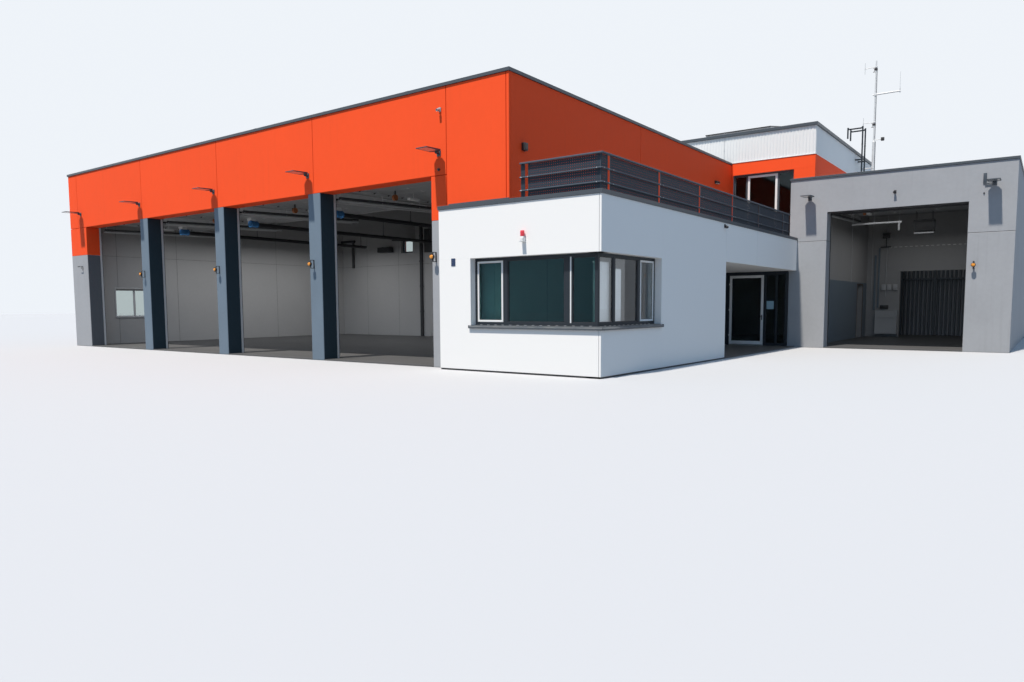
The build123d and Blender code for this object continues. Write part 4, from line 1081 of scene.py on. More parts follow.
def build_alarm_light():
    x, y = -1.84, -0.0625
    base = [block(x - 0.05, x + 0.05, -0.125, 0.0, 2.775, 2.789, 0.004, 2),
        block(x - 0.042, x + 0.042, -0.111, 0.0, 2.789, 2.874, 0.016, 3),
        upright(x, y, 2.870, 2.888, 0.044, 28)]
    merge("alarm_base", base, "white_sheet", "white_metal", smooth=35)
    lens = [round_edges(upright(x, y, 2.887, 3.009, 0.0450, 28, end_radius=0.0425), 0.008, 3)]
    for i in range(5):
        z = 2.90 + i * 0.018
        ring = upright(x, y, z, z + 0.006, 0.0462, 28)
        lens.append(round_edges(ring, 0.002))
    merge("alarm_lens", lens, "red_plastic", "red_plastic", "alarm_light", smooth=40)


class STATION_OT_alarm_light(bpy.types.Operator):
    """White base on a flange, and the red ribbed lens of the alarm light"""
    bl_idname = "station.alarm_light"
    bl_label = "Alarm light"

    def execute(self, context):
        build_alarm_light()
        return {"FINISHED"}


def build_annex_walls():
    low, high, foot, top, edge = 0.957, 2.494, 0.035, ANNEX_Z, 0.004
    walls = []
    for x0, x1 in ((-4.22, -0.054), (-0.046, 0.0)):
        left = max(x0, -3.30)
        walls += blocks([(x0, x1, 0.0, 0.05, foot, low), (x0, x1, 0.0, 0.05, high, top)], edge)
        if x0 < left:
            walls.append(block(x0, left, 0.0, 0.05, low - 0.004, high + 0.004, edge))
    walls += blocks([(-4.22, -0.004, 0.05, 0.36, foot, low),
        (-4.22, -0.004, 0.05, 0.36, high, top),
        (-4.22, -3.30, 0.05, 0.36, low - 0.004, high + 0.004)], edge)
    side = blocks([(-0.35, 0.0, 0.05, 2.74, foot, low), (-0.35, 0.0, 0.05, 2.74, high, top),
        (-0.35, 0.0, 2.74, 6.736, foot, top)], edge)
    merge("annex_front_dressed", walls, "white_render", "white_render", "annex_front_wall")
    merge("annex_side_dressed", side, "white_render", "white_render", "annex_side_wall")
    feet = blocks([(-4.21, -0.012, 0.012, 0.35, 0.0, 0.036),
        (-0.34, -0.012, 0.012, 6.73, 0.0, 0.036)], 0.002)
    merge("annex_foot", feet, "black_metal", "black_metal")
    beam = [block(-0.25, 0.0, a, b, 2.60, top, edge) for a, b in ((6.752, 9.243), (9.257, 13.37))]
    soffit = [block(-2.485, -0.25, a, b, 2.60, 2.64, edge) for a, b in ((6.744, 9.1),
        (9.106, 11.5), (11.506, 13.90))]
    merge("canopy_dressed", beam + soffit, "white_render", "white_render", "entrance_canopy")


class STATION_OT_annex_walls(bpy.types.Operator):
    """White walls of the annex with a corner joint, a recessed foot and crisp edges"""
    bl_idname = "station.annex_walls"
    bl_label = "Annex walls"

    def execute(self, context):
        build_annex_walls()
        return {"FINISHED"}


def coping_run(along, x0, x1, y0, y1, z0, z1, pitch, proud=0.0015):
    """A capping along x, 0, or along y, 1, with straps at its joints."""
    pieces = [bar((x0, y0, z0), (x1, y1, z1), 0.004, 2)]
    (a, b), (c, d) = ((y0, y1), (x0, x1)) if along else ((x0, x1), (y0, y1))
    count = max(1, round((b - a) / pitch))
    for i in range(1, count):
        here = a + (b - a) * i / count
        low, high = (here - 0.05, c - proud), (here + 0.05, d + proud)
        if along:
            low, high = low[::-1], high[::-1]
        pieces.append(bar((*low, z0 + 0.001), (*high, z1 + 0.0015), 0.001))
    return pieces


def build_copings():
    low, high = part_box("hall_coping")
    wall = HALL_X1 - HALL_IN_X1
    pieces = coping_run(0, low[0], high[0], low[1], FRONT_Y1, low[2], high[2], 3.0)
    pieces += coping_run(1, low[0], HALL_X0 + wall, FRONT_Y1, high[1] - wall, low[2], high[2], 3.0,
        -0.001)
    pieces += coping_run(1, HALL_X1 - wall, high[0], FRONT_Y1, HALL_Y1 - CLADDING_T, low[2],
        high[2], 3.0)
    pieces += coping_run(0, low[0], HALL_X1, high[1] - wall, high[1], low[2], high[2], 3.0)
    merge("hall_coping_dressed", pieces, "anthracite_metal", "dark_metal", "hall_coping")
    low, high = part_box("terrace_coping")
    pieces = coping_run(0, low[0], high[0], low[1], HALL_Y0, low[2], high[2], 2.2)
    pieces += coping_run(1, high[0] - 0.37, high[0], HALL_Y0, high[1], low[2], high[2], 2.6)
    merge("terrace_coping_dressed", pieces, "anthracite_metal", "dark_metal", "terrace_coping")
    low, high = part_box("wash_coping")
    store_x = BLOCK[1][0] - 0.3 - 0.03
    pieces = coping_run(0, WASH[0][0] - 0.03, high[0], low[1], WASH[1][1], low[2], high[2], 2.1)
    pieces += coping_run(1, high[0] - 0.33, high[0], WASH[1][1], high[1], low[2], high[2], 3.1,
        -0.001)
    pieces += coping_run(0, store_x, WASH[1][0], high[1] - 0.33, high[1], low[2], high[2], 3.0,
        -0.001)
    pieces += coping_run(1, store_x, BLOCK[1][0], BLOCK_Y1, high[1] - 0.33, low[2], high[2], 3.0,
        -0.001)
    merge("wash_coping_dressed", pieces, "anthracite_metal", "dark_metal", "wash_coping")
    low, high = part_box("block_roof")
    lip = 0.11
    edges = bars([(low[0], high[0], low[1], low[1] + lip, low[2], high[2]),
        (low[0], high[0], high[1] - lip, high[1], low[2], high[2]),
        (low[0], low[0] + lip, low[1] + lip, high[1] - lip, low[2], high[2]),
        (high[0] - lip, high[0], low[1] + lip, high[1] - lip, low[2], high[2])], 0.004, 2)
    merge("block_eaves", edges, "anthracite_metal", "dark_metal", "block_roof")
    deck = [bar((low[0] + lip, low[1] + lip, low[2]),
        (high[0] - lip, high[1] - lip, high[2] - 0.012), 0.003)]
    merge("block_roof_skin", deck, "roof_membrane", "roof_membrane", "block_roof")
    foot = [bar((ANNEX[0][0], HALL_Y0 - 0.02, 3.70), (HALL_X1, HALL_Y0, 3.79), 0.003)]
    merge("terrace_foot_flashing", foot, "anthracite_metal", "dark_metal")


class STATION_OT_copings(bpy.types.Operator):
    """Folded sheet copings with joint straps"""
    bl_idname = "station.copings"
    bl_label = "Copings"

    def execute(self, context):
        build_copings()
        return {"FINISHED"}


def build_block_panels():
    t = CLADDING_T
    edge = 0.004
    gap = sizes().panel_gap / 2
    x0, x1 = BLOCK[0][0], BLOCK[1][0]
    y0, y1 = BLOCK[0][1], BLOCK_Y1
    deck, low, top = 3.55, WASH_TOP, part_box("hall_coping")[1][2]
    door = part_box("terrace_door_frame")
    pieces = bars([(HALL_X1, x1 + t, y0 - t, y0, door[1][2], top - 0.012),
        (door[1][0], WASH[0][0] - 0.03, y0 - t, y0, deck, door[1][2]),
        (HALL_X1, door[1][0], y0 - t, y0, deck, door[0][2]),
        (HALL_X1, door[0][0], y0 - t, y0, door[0][2], door[1][2]),
        (WASH[0][0] - 0.03, x1 + t, y0 - t, y0, low, door[1][2])], edge)
    pieces += [bar((x1, a, low), (x1 + t, b - gap * 2, top - 0.012), edge)
        for a, b in ((y0 + gap, y0 + 3.0), (y0 + 3.0, y0 + 6.1), (y0 + 6.1, y1 + t))]
    window_z, store_x = (4.5, 5.85), x1 - 0.33
    windows = sorted(set(round(x, 3) for x in REAR_WINDOW_XS))
    cuts = [x0 - t] + [x for w in windows for x in (w, w + REAR_WINDOW_W)] + [x1 + t]
    for i, (a, b) in enumerate(zip(cuts, cuts[1:])):
        right = min(b, store_x)
        if i % 2 == 0:
            if right > a:
                pieces.append(bar((a, y1, PIER_Z), (right, y1 + t, top - 0.012), edge))
            if b > store_x:
                pieces.append(bar((max(a, store_x), y1, low), (b, y1 + t, top - 0.012), edge))
        else:
            pieces += bars([(a, right, y1, y1 + t, PIER_Z, window_z[0]),
                (a, b, y1, y1 + t, window_z[1], top - 0.012)], edge)
    pieces += [bar((x0 - t, a + gap, PIER_Z), (x0, b - gap, top - 0.012), edge)
        for a, b in ((HALL_Y1, HALL_Y1 + 3.1), (HALL_Y1 + 3.1, HALL_Y1 + 6.2),
        (HALL_Y1 + 6.2, y1))]
    merge("block_panels", pieces, "orange_paint", "orange_panel", "block_orange_cladding")
    low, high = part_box("block_white_cladding")
    deep = 0.012
    sheet = bars([(low[0] + deep, high[0] - deep, low[1] + deep, y0 - 0.0005, low[2], high[2]),
        (low[0] + deep, high[0] - deep, y1 + 0.0005, high[1] - deep, low[2], high[2]),
        (low[0] + deep, x0 - 0.0005, y0, y1, low[2], high[2]),
        (x1 + 0.0005, high[0] - deep, y0, y1, low[2], high[2])], 0.001)
    for along in (0, 1):
        start, stop = low[along] + 0.03, high[along] - 0.03
        count = round((stop - start) / 0.11)
        for a, b in ((low, deep), (high, -deep)):
            edge_at = a[1 - along]
            near, far = sorted((edge_at, edge_at + b * 1.2))
            corners = [(start, near), (start + 0.06, far)]
            if along:
                corners = [c[::-1] for c in corners]
            rib = bar((*corners[0], low[2] + 0.002), (*corners[1], high[2] - 0.002))
            nudge(rib, lambda c: abs(c[1 - along] - edge_at) < 0.001 and c[along] > start + 0.03,
                shift(along, -0.012))
            nudge(rib, lambda c: abs(c[1 - along] - edge_at) < 0.001 and c[along] < start + 0.01,
                shift(along, 0.012))
            sheet += series(rib, along, (stop - start) / count, count)
    merge("block_ribbed_sheet", sheet, "white_sheet", "white_metal", "block_white_cladding")
    drips = []
    z0, z1 = top - 0.012, top + 0.012
    out = t + 0.018
    drips += bars([(HALL_X1 + 0.03, x1 + out, y0 - out, y0 - t + 0.02, z0, z1),
        (x1 + t - 0.02, x1 + out, y0 - t + 0.02, y1 + out, z0, z1),
        (x0 - out, x1 + t - 0.02, y1 + t - 0.02, y1 + out, z0, z1),
        (x0 - out, x0 - t + 0.02, HALL_Y1, y1 + t - 0.02, z0, z1)], 0.002)
    merge("block_drip_flashing", drips, "white_sheet", "white_metal")


class STATION_OT_block_panels(bpy.types.Operator):
    """Orange panels round the block, below the white ribs, with drip flashing"""
    bl_idname = "station.block_panels"
    bl_label = "Block panels"

    def execute(self, context):
        build_block_panels()
        return {"FINISHED"}


def build_wash_front():
    low, high = WASH
    edge = 0.008
    joint, gap = 3.56, 0.006
    gx0 = low[0] + 1.19
    gx1 = gx0 + 3.99
    head = 4.49
    parts = bars([(low[0], gx0, low[1], high[1], 0, joint - gap),
        (gx1, high[0], low[1], high[1], 0, joint - gap)],
        edge) + bars([(low[0], gx0, low[1], high[1], joint + gap, high[2]),
        (gx1, high[0], low[1], high[1], joint + gap, high[2]),
        (gx0 - 0.004, gx1 + 0.004, low[1], high[1], head, high[2])], edge * 0.4)
    merge("wash_portal", parts, "grey_concrete", "concrete_grey", "wash_front")
    seals = [*bars([(gx0 - 0.001, gx0 + 0.018, high[1] - 0.05, high[1] - 0.01, 0.03, head),
        (gx1 - 0.018, gx1 + 0.001, high[1] - 0.05, high[1] - 0.01, 0.03, head)], 0.003),
        bar((gx0, low[1] + 0.10, head - 0.03), (gx1, low[1] + 0.16, head + 0.002), 0.004),
        bar((gx0, high[1] - 0.09, head - 0.06), (gx1, high[1] - 0.03, head + 0.002), 0.006)]
    merge("wash_gate_seals", seals, "black_metal", "black_metal")
    spot_x, spot_z = low[0] + 3.186, 4.96
    spot = [rod((spot_x, low[1] - 0.125, spot_z - 0.03), (spot_x, low[1] - 0.05, spot_z), 0.042,
        18, end_radius=0.03), rod((spot_x, low[1] - 0.06, spot_z), (spot_x, low[1], spot_z), 0.018,
        12), bar((spot_x - 0.035, low[1] - 0.018, spot_z - 0.05),
        (spot_x + 0.035, low[1], spot_z + 0.05), 0.004, 2)]
    spot[0] = round_edges(dish(spot[0], lambda c: c.y < low[1] - 0.12, 0.006, 0.006), 0.002)
    merge("wash_gate_sensor", spot, "black_metal", "black_metal", smooth=35)


class STATION_OT_wash_front(bpy.types.Operator):
    """Wash bay portal in cast parts with an open joint below the head"""
    bl_idname = "station.wash_front"
    bl_label = "Wash bay front"

    def execute(self, context):
        build_wash_front()
        return {"FINISHED"}


def ring_x(x0, x1, y0, y1, z0, z1, member, edge=0.0):
    """Four bars round an upright opening that faces the front."""
    a, b = z0 + member, z1 - member
    return blocks([(x0, x1, y0, y1, b, z1), (x0, x1, y0, y1, z0, a),
        (x0, x0 + member, y0, y1, a, b), (x1 - member, x1, y0, y1, a, b)], edge)


def ring_y(x0, x1, y0, y1, z0, z1, member, edge=0.0):
    """Four bars round an upright opening that faces the side."""
    a, b = z0 + member, z1 - member
    return blocks([(x0, x1, y0, y1, b, z1), (x0, x1, y0, y1, z0, a),
        (x0, x1, y0, y0 + member, a, b), (x0, x1, y1 - member, y1, a, b)], edge)


def window_frame(low, high, front, side, t):
    edge, m = 0.003, 0.06
    parts = blocks([(-3.30, side, front, front + t, high - m, high),
        (-3.30, side, front, front + t, low, low + m),
        (side - t, side, front + t, 2.74, high - m, high),
        (side - t, side, front + t, 2.74, low, low + m)], edge)
    parts += [block(a, b, front, front + t, low + m, high - m, edge) for a, b in ((-3.30, -3.24),
        (-2.52, -2.41), (-0.955, -0.822), (-0.787, -0.775), (-0.224, side))]
    parts += [block(side - t, side, a, b, low + m, high - m, edge) for a, b in ((0.80, 0.885),
        (1.90, 2.01), (2.68, 2.74))]
    return parts


def blind_slats(start, count, top):
    """Upright blind slats behind a side light, hung from a rail."""
    parts = [block(-0.315, -0.285, start, start + count * 0.083, top, top + 0.03, 0.003)]
    slat = block(-0.302, -0.2995, 0.0, 0.080, 1.10, top, 0.001)
    nudge(slat, lambda c: c.y > ANNEX_Y0 + 0.07, (0.018, 0, 0))
    twins = again(slat, *[(0, start + i * 0.083, 0) for i in range(1, count)])
    slat.data.transform(Matrix.Translation(Vector((0, start, 0))))
    return parts + [slat] + twins


def build_corner_window():
    low, high, front, side, t = 1.03, 2.494, 0.17, -0.17, 0.07
    merge("window_frame_dressed", window_frame(low, high, front, side, t), "frame_paint",
        "dark_metal", "corner_window_frame")
    g0, g1 = 1.09, 2.434
    # Front panes: dark teal glass of painted reflection
    panes = [block(a, b, 0.193, 0.217, g0 + c, g1 - c, 0.001) for a, b, c in ((-0.775, -0.224, 0),
        (-2.41, -0.955, 0), (-3.192, -2.568, 0.048))]
    merge("window_glass_front", panes, "dark_glass", "glass", "corner_window_glass")
    # Side panes: pale blue glass of painted sky reflection
    panes = [block(-0.217, -0.193, a, b, g0 + c, g1 - c, 0.001) for a, b, c in ((0.240, 0.80, 0),
        (0.885, 1.90, 0), (2.058, 2.632, 0.048))]
    merge("window_glass_side", panes, "side_glass", "glass", "corner_window_glass")
    z0, z1 = low + 0.06, high - 0.06
    beads, seals = [], []
    for a, b in ((-2.41, -0.955), (-0.775, -0.224)):
        beads += ring_x(a, b, front + 0.008, front + 0.020, z0, z1, 0.020, 0.002)
        beads += ring_x(a, b, front + 0.050, front + 0.066, z0, z1, 0.020, 0.002)
        seals += ring_x(a + 0.001, b - 0.001, front + 0.0205, front + 0.0228, z0 + 0.001,
            z1 - 0.001, 0.026)
    for a, b in ((0.240, 0.80), (0.885, 1.90)):
        beads += ring_y(side - 0.020, side - 0.008, a, b, z0, z1, 0.020, 0.002)
        beads += ring_y(side - 0.066, side - 0.050, a, b, z0, z1, 0.020, 0.002)
        seals += ring_y(side - 0.0228, side - 0.0205, a + 0.001, b - 0.001, z0 + 0.001, z1 - 0.001,
            0.026)
    sashes = ring_x(-3.234, -2.526, front - 0.004, front + 0.066, z0 + 0.006, z1 - 0.006, 0.044,
        0.004)
    sashes += ring_y(side - 0.066, side + 0.004, 2.016, 2.674, z0 + 0.006, z1 - 0.006, 0.044,
        0.004)
    sashes.append(block(-0.820, -0.789, front - 0.002, front + t - 0.004, z0 + 0.001, z1 - 0.001,
        0.003))
    seals += ring_x(-3.191, -2.569, front + 0.014, front + 0.0228, z0 + 0.049, z1 - 0.049, 0.006)
    seals += ring_y(side - 0.0228, side - 0.014, 2.059, 2.631, z0 + 0.049, z1 - 0.049, 0.006)
    merge("window_beads", beads, "frame_paint", "dark_metal")
    merge("window_seals", seals, "black_metal", "black_metal")
    merge("window_sashes_dressed", sashes, "white_sheet", "white_metal", "corner_window_sashes")
    handles = []
    for start, end in (((-2.56, front + 0.066, 1.72), (-2.56, front + 0.10, 1.72)),
            ((side - 0.066, 2.05, 1.72), (side - 0.10, 2.05, 1.72))):
        x, y, z = end
        handles.append(post(start, end, 0.012, 12))
        handles.append(block(x - 0.010, x + 0.010, y - 0.010, y + 0.010, z - 0.11, z + 0.012,
            0.004, 2))
    merge("window_handles", handles, "bright_aluminium", "steel", smooth=30)
    clip = block(-3.16, -3.10, 0.152, 0.1685, 1.0302, 1.037, 0.002)
    clips = series(clip, 0, 0.2, 15)
    turned = block(-0.1685, -0.152, 0.42, 0.48, 1.0302, 1.037, 0.002)
    clips += series(turned, 1, 0.2, 11)
    merge("window_drain_caps", clips, "bright_aluminium", "steel")
    ends = blocks([(-3.342, -3.336, -0.049, -0.001, 0.96, 1.022),
        (0.001, 0.049, 2.776, 2.782, 0.96, 1.022)], 0.002)
    merge("window_sill_ends", ends, "anthracite_metal", "dark_metal")
    merge("window_blinds", blind_slats(0.215, 7, 2.30) + blind_slats(0.90, 5, 2.18),
        "blind_plastic", "white_metal")


class STATION_OT_corner_window(bpy.types.Operator):
    """Frame, glazing beads, gaskets, white sashes, sill clips and blinds of the corner window"""
    bl_idname = "station.corner_window"
    bl_label = "Corner window"

    def execute(self, context):
        build_corner_window()
        return {"FINISHED"}


def door_knuckles(z0, z1, edge=0.001):
    parts = []
    for z in (0.35, 1.25, 2.15):
        pin = upright(-2.28, 13.29, z + z0, z + z1, 0.008, 16)
        parts.append(round_edges(pin, edge))
    return parts


def build_entrance():
    y0, y1, edge, low, head = 13.30, 13.36, 0.003, 0.03, 2.488
    panel = block(-2.485, -2.28, y0, y1, low, head, edge)
    dish(panel, lambda c: c.y < ANNEX_Y0 + y0 + 0.001 and c.z > 0.5, 0.045, 0.008)
    parts = [panel, *blocks([(-2.485, -0.25, y0, y1, head, 2.60),
        (-1.06, -0.98, y0, y1, low, head), (-0.65, -0.60, y0, y1, 0.11, head),
        (-0.33, -0.25, y0, y1, low, head), (-0.98, -0.33, y0, y1, low, 0.11)], edge)]
    for a, b in ((-0.98, -0.65), (-0.60, -0.33)):
        parts += ring_x(a, b, y0 + 0.004, y0 + 0.016, 0.11, head, 0.016, 0.002)
        parts += ring_x(a, b, y0 + 0.044, y0 + 0.056, 0.11, head, 0.016, 0.002)
    parts += [block(-2.289, -2.281, y0 - 0.010, y0 + 0.004, z - 0.058, z - 0.002, 0.001)
        for z in (0.35, 1.25, 2.15)]
    parts += door_knuckles(-0.06, -0.0005)
    merge("entrance_frame_dressed", parts, "frame_paint", "dark_metal", "entrance_frame",
        smooth=30)
    x0, x1, m, z0, z1 = -2.274, -1.066, 0.09, 0.038, 2.480
    leaf = blocks([(x0, x0 + m, y0, y1, z0, z1), (x1 - m, x1, y0, y1, z0, z1),
        (x0 + m, x1 - m, y0, y1, z1 - m, z1), (x0 + m, x1 - m, y0, y1, z0, z0 + 0.14)], 0.004, 2)
    for z in (0.35, 1.25, 2.15):
        leaf += blocks([(-2.279, -2.245, y0 - 0.014, y0 - 0.0105, z + 0.002, z + 0.058),
            (-2.273, -2.245, y0 - 0.0110, y0 + 0.001, z + 0.004, z + 0.056)], 0.001)
    leaf += door_knuckles(0.0005, 0.06)
    merge("door_leaf_dressed", leaf, "door_paint", "door_aluminium", "entrance_door_leaf",
        body=DOOR, smooth=30)
    seals = []
    for a, b in ((y0 + 0.008, y0 + 0.0178), (y1 - 0.0178, y1 - 0.008)):
        seals += ring_x(x0 + m - 0.001, x1 - m + 0.001, a, b, z0 + 0.139, z1 - m + 0.001, 0.012)
    seals.append(block(x0 + 0.01, x1 - 0.01, y0 - 0.004, y0 + 0.0005, z0 + 0.004, z0 + 0.020,
        0.001))
    merge("door_leaf_seals", seals, "black_metal", "black_metal", body=DOOR)
    furniture = []
    x, z = -1.111, 1.05
    for y, way in ((y0, -1), (y1, 1)):
        plate = block(x - 0.016, x + 0.016, min(y, y + way * 0.006), max(y, y + way * 0.006),
            z - 0.13, z + 0.05, 0.002, 2)
        furniture.append(plate)
        rose = post((x, y, z), (x, y + way * 0.010, z), 0.022, 24)
        furniture += [round_edges(rose, 0.002), post((x, y, z), (x, y + way * 0.052, z), 0.009,
            16)]
        lever = post((x + 0.008, y + way * 0.050, z), (x - 0.112, y + way * 0.050, z), 0.0095, 16)
        furniture.append(round_edges(lever, 0.004, 2))
        lock = post((x, y, z - 0.09), (x, y + way * 0.012, z - 0.09), 0.010, 20)
        furniture.append(round_edges(lock, 0.001))
    merge("door_furniture", furniture, "black_metal", "steel", "entrance_door_handle", body=DOOR,
        smooth=35)
    merge("entrance_blank_plate",
        [block(-0.958, -0.712, y0 + 0.012, y0 + 0.0172, 1.30, 1.58, 0.002, 2)], "blue_plate",
        "white_metal")
    merge("entrance_threshold", [block(-2.28, -1.06, y0 - 0.03, y1, 0.03, 0.0355, 0.002)],
        "galvanised", "steel")


class STATION_OT_entrance(bpy.types.Operator):
    """Entrance front with side lights, the hinged leaf, its lever, lock and seals"""
    bl_idname = "station.entrance"
    bl_label = "Entrance"

    def execute(self, context):
        build_entrance()
        return {"FINISHED"}


def build_terrace_door():
    y0, y1 = 13.96, 14.03
    x0, x1, z0, z1 = -2.425, -0.30, 3.60, 6.09
    parts = ring_x(x0, x1, y0, y1, z0, z1, 0.05, 0.003)
    parts += [block(x - 0.025, x + 0.025, y0, y1, z0 + 0.05, z1 - 0.05, 0.003)
        for x in (-1.95, -0.85)]
    for a, b in ((-2.375, -1.975), (-0.825, -0.35)):
        parts += ring_x(a, b, y0 + 0.006, y0 + 0.021, z0 + 0.05, z1 - 0.05, 0.016, 0.002)
    merge("terrace_frame_dressed", parts, "anthracite_metal", "dark_metal", "terrace_door_frame")
    leaf = ring_x(-1.921, -0.879, y0 - 0.004, y1 - 0.006, z0 + 0.054, z1 - 0.054, 0.076, 0.004)
    merge("terrace_leaf_dressed", leaf, "white_sheet", "white_metal", "terrace_door_sash")
    seals = ring_x(-1.846, -0.954, y0 + 0.012, y0 + 0.0225, z0 + 0.129, z1 - 0.129, 0.008)
    merge("terrace_door_seals", seals, "black_metal", "black_metal")
    lever = [post((-0.915, y0 - 0.004, 4.62), (-0.915, y0 - 0.05, 4.62), 0.009, 14),
        post((-0.907, y0 - 0.048, 4.62), (-1.03, y0 - 0.048, 4.62), 0.009, 14),
        block(-0.930, -0.900, y0 - 0.009, y0 - 0.003, 4.50, 4.68, 0.002)]
    merge("terrace_door_lever", lever, "bright_aluminium", "steel", smooth=30)
    merge("terrace_threshold", [block(-2.425, -0.30, 13.845, 13.96, 3.552, 3.60, 0.004)],
        "galvanised", "steel")


class STATION_OT_terrace_door(bpy.types.Operator):
    """Terrace door: dark frame, beads, white leaf, lever and threshold"""
    bl_idname = "station.terrace_door"
    bl_label = "Terrace door"

    def execute(self, context):
        build_terrace_door()
        return {"FINISHED"}


def build_small_fittings():
    camera = [post((0.0, 6.585, 3.53), (0.014, 6.585, 3.53), 0.055, 24),
        post((0.010, 6.585, 3.525), (0.055, 6.585, 3.505), 0.034, 20),
        ball(place(0.062, 6.585, 3.498), 0.042, (1, 1, 0.9), 20)]
    camera[0] = round_edges(camera[0], 0.003, 2)
    merge("wall_camera", camera, "black_metal", "black_metal", smooth=35)
    lamp = [block(-2.485, -2.462, 12.22, 12.50, 5.61, 5.72, 0.006, 2),
        block(-2.464, -2.385, 12.235, 12.485, 5.63, 5.705, 0.014, 3)]
    dish(lamp[0], lambda c: c.x > ANNEX_X1 - 2.463, 0.012, 0.002)
    merge("flank_lamp", lamp, "black_metal", "black_metal", smooth=35)
    merge("flank_lamp_pane", [block(-2.46, -2.395, 12.25, 12.47, 5.620, 5.632, 0.002)],
        "lamp_tube", "white_metal")
    box = [block(-2.485, -2.40, 0.82, 0.96, 4.86, 5.03, 0.008, 2),
        upright(-2.445, 0.89, 4.872, 4.842, 0.018, 14),
        block(-2.41, -2.392, 0.84, 0.94, 4.88, 5.01, 0.004)]
    merge("flank_box", box, "black_metal", "black_metal", smooth=35)
    y = 0.36
    sensor = [block(-4.485, -4.415, y - 0.03, y, 5.90, 6.00, 0.008, 2),
        post((-4.45, y - 0.03, 5.95), (-4.45, y - 0.07, 5.94), 0.016, 14),
        post((-4.45, y - 0.06, 5.94), (-4.45, y - 0.125, 5.92), 0.036, 20, end_radius=0.030)]
    dish(sensor[2], lambda c: c.y < ANNEX_Y0 + y - 0.12, 0.006, 0.006)
    merge("front_sensor", sensor, "grey_concrete", "concrete_grey", smooth=35)
    knob = [post((-4.51, y, 4.606), (-4.51, y - 0.02, 4.606), 0.034, 24),
        post((-4.51, y - 0.02, 4.606), (-4.51, y - 0.05, 4.606), 0.022, 20)]
    knob = [round_edges(k, 0.003, 2) for k in knob]
    bracket = [*blocks([(-22.70, -22.66, y - 0.010, y, 2.88, 3.04),
        (-22.70, -22.66, y - 0.11, y - 0.010, 3.020, 3.032)], 0.002),
        block(-22.84, -22.66, y - 0.122, y - 0.110, 3.000, 3.036, 0.003),
        upright(-22.68, y - 0.06, 3.02, 2.93, 0.008, 12)]
    spot = [post((5.30, 13.37, 4.70), (5.30, 13.355, 4.70), 0.022, 16),
        post((5.30, 13.36, 4.70), (5.30, 13.34, 4.70), 0.012, 12)]
    merge("front_fittings", knob + bracket + spot, "black_metal", "black_metal", smooth=35)
    plate = block(-3.85, -3.73, -0.010, 0.0, 2.345, 2.515, 0.004, 3)
    dish(plate, lambda c: c.y < ANNEX_Y0 - 0.009, 0.006, 0.0015)
    merge("blank_number_plate", [plate], "plate_blue", "blue_paint")
    wire = pipe([place(-2.775, 13.826, 6.60), place(-2.775, 13.826, 7.455),
        place(-2.775, 13.778, 7.455), place(-2.775, 13.778, 7.594), place(-2.775, 14.20, 7.594)],
        0.005, 0.02, 8)
    clamps = [block(-2.79, -2.76, 13.818, 13.842, z, z + 0.02, 0.002) for z in (6.65, 7.0, 7.35)]
    clamps.append(block(-2.80, -2.75, 13.95, 13.99, 7.584, 7.602, 0.003))
    merge("lightning_wire", [wire] + clamps, "bright_aluminium", "steel", smooth=35)


class STATION_OT_small_fittings(bpy.types.Operator):
    """Camera, sensors, outlets, bracket, conductor and blank plate on the outer walls"""
    bl_idname = "station.small_fittings"
    bl_label = "Small fittings"

    def execute(self, context):
        build_small_fittings()
        return {"FINISHED"}


# Left, right, wall and rail height of each gate
GATE_BAYS = [(-22.265 + 4.5 * i, -18.265 + 4.5 * i, 0.83, 4.68) for i in range(4)]
GATE_BAYS.append((0.94, 4.93, 13.90, 4.78))


def gate_sections(x0, x1, start, z):
    pieces = []
    for i in range(7):
        a = start + i * 0.56
        panel = block(x0, x1, a + 0.001, a + 0.549, z, z + 0.042, 0.004)
        dish(panel, lambda c: c.z < z + 0.001, 0.10, 0.004)
        pieces.append(panel)
        if i < 6:
            pieces.append(block(x0, x1, a + 0.5495, a + 0.5605, z + 0.012, z + 0.041))
    return pieces


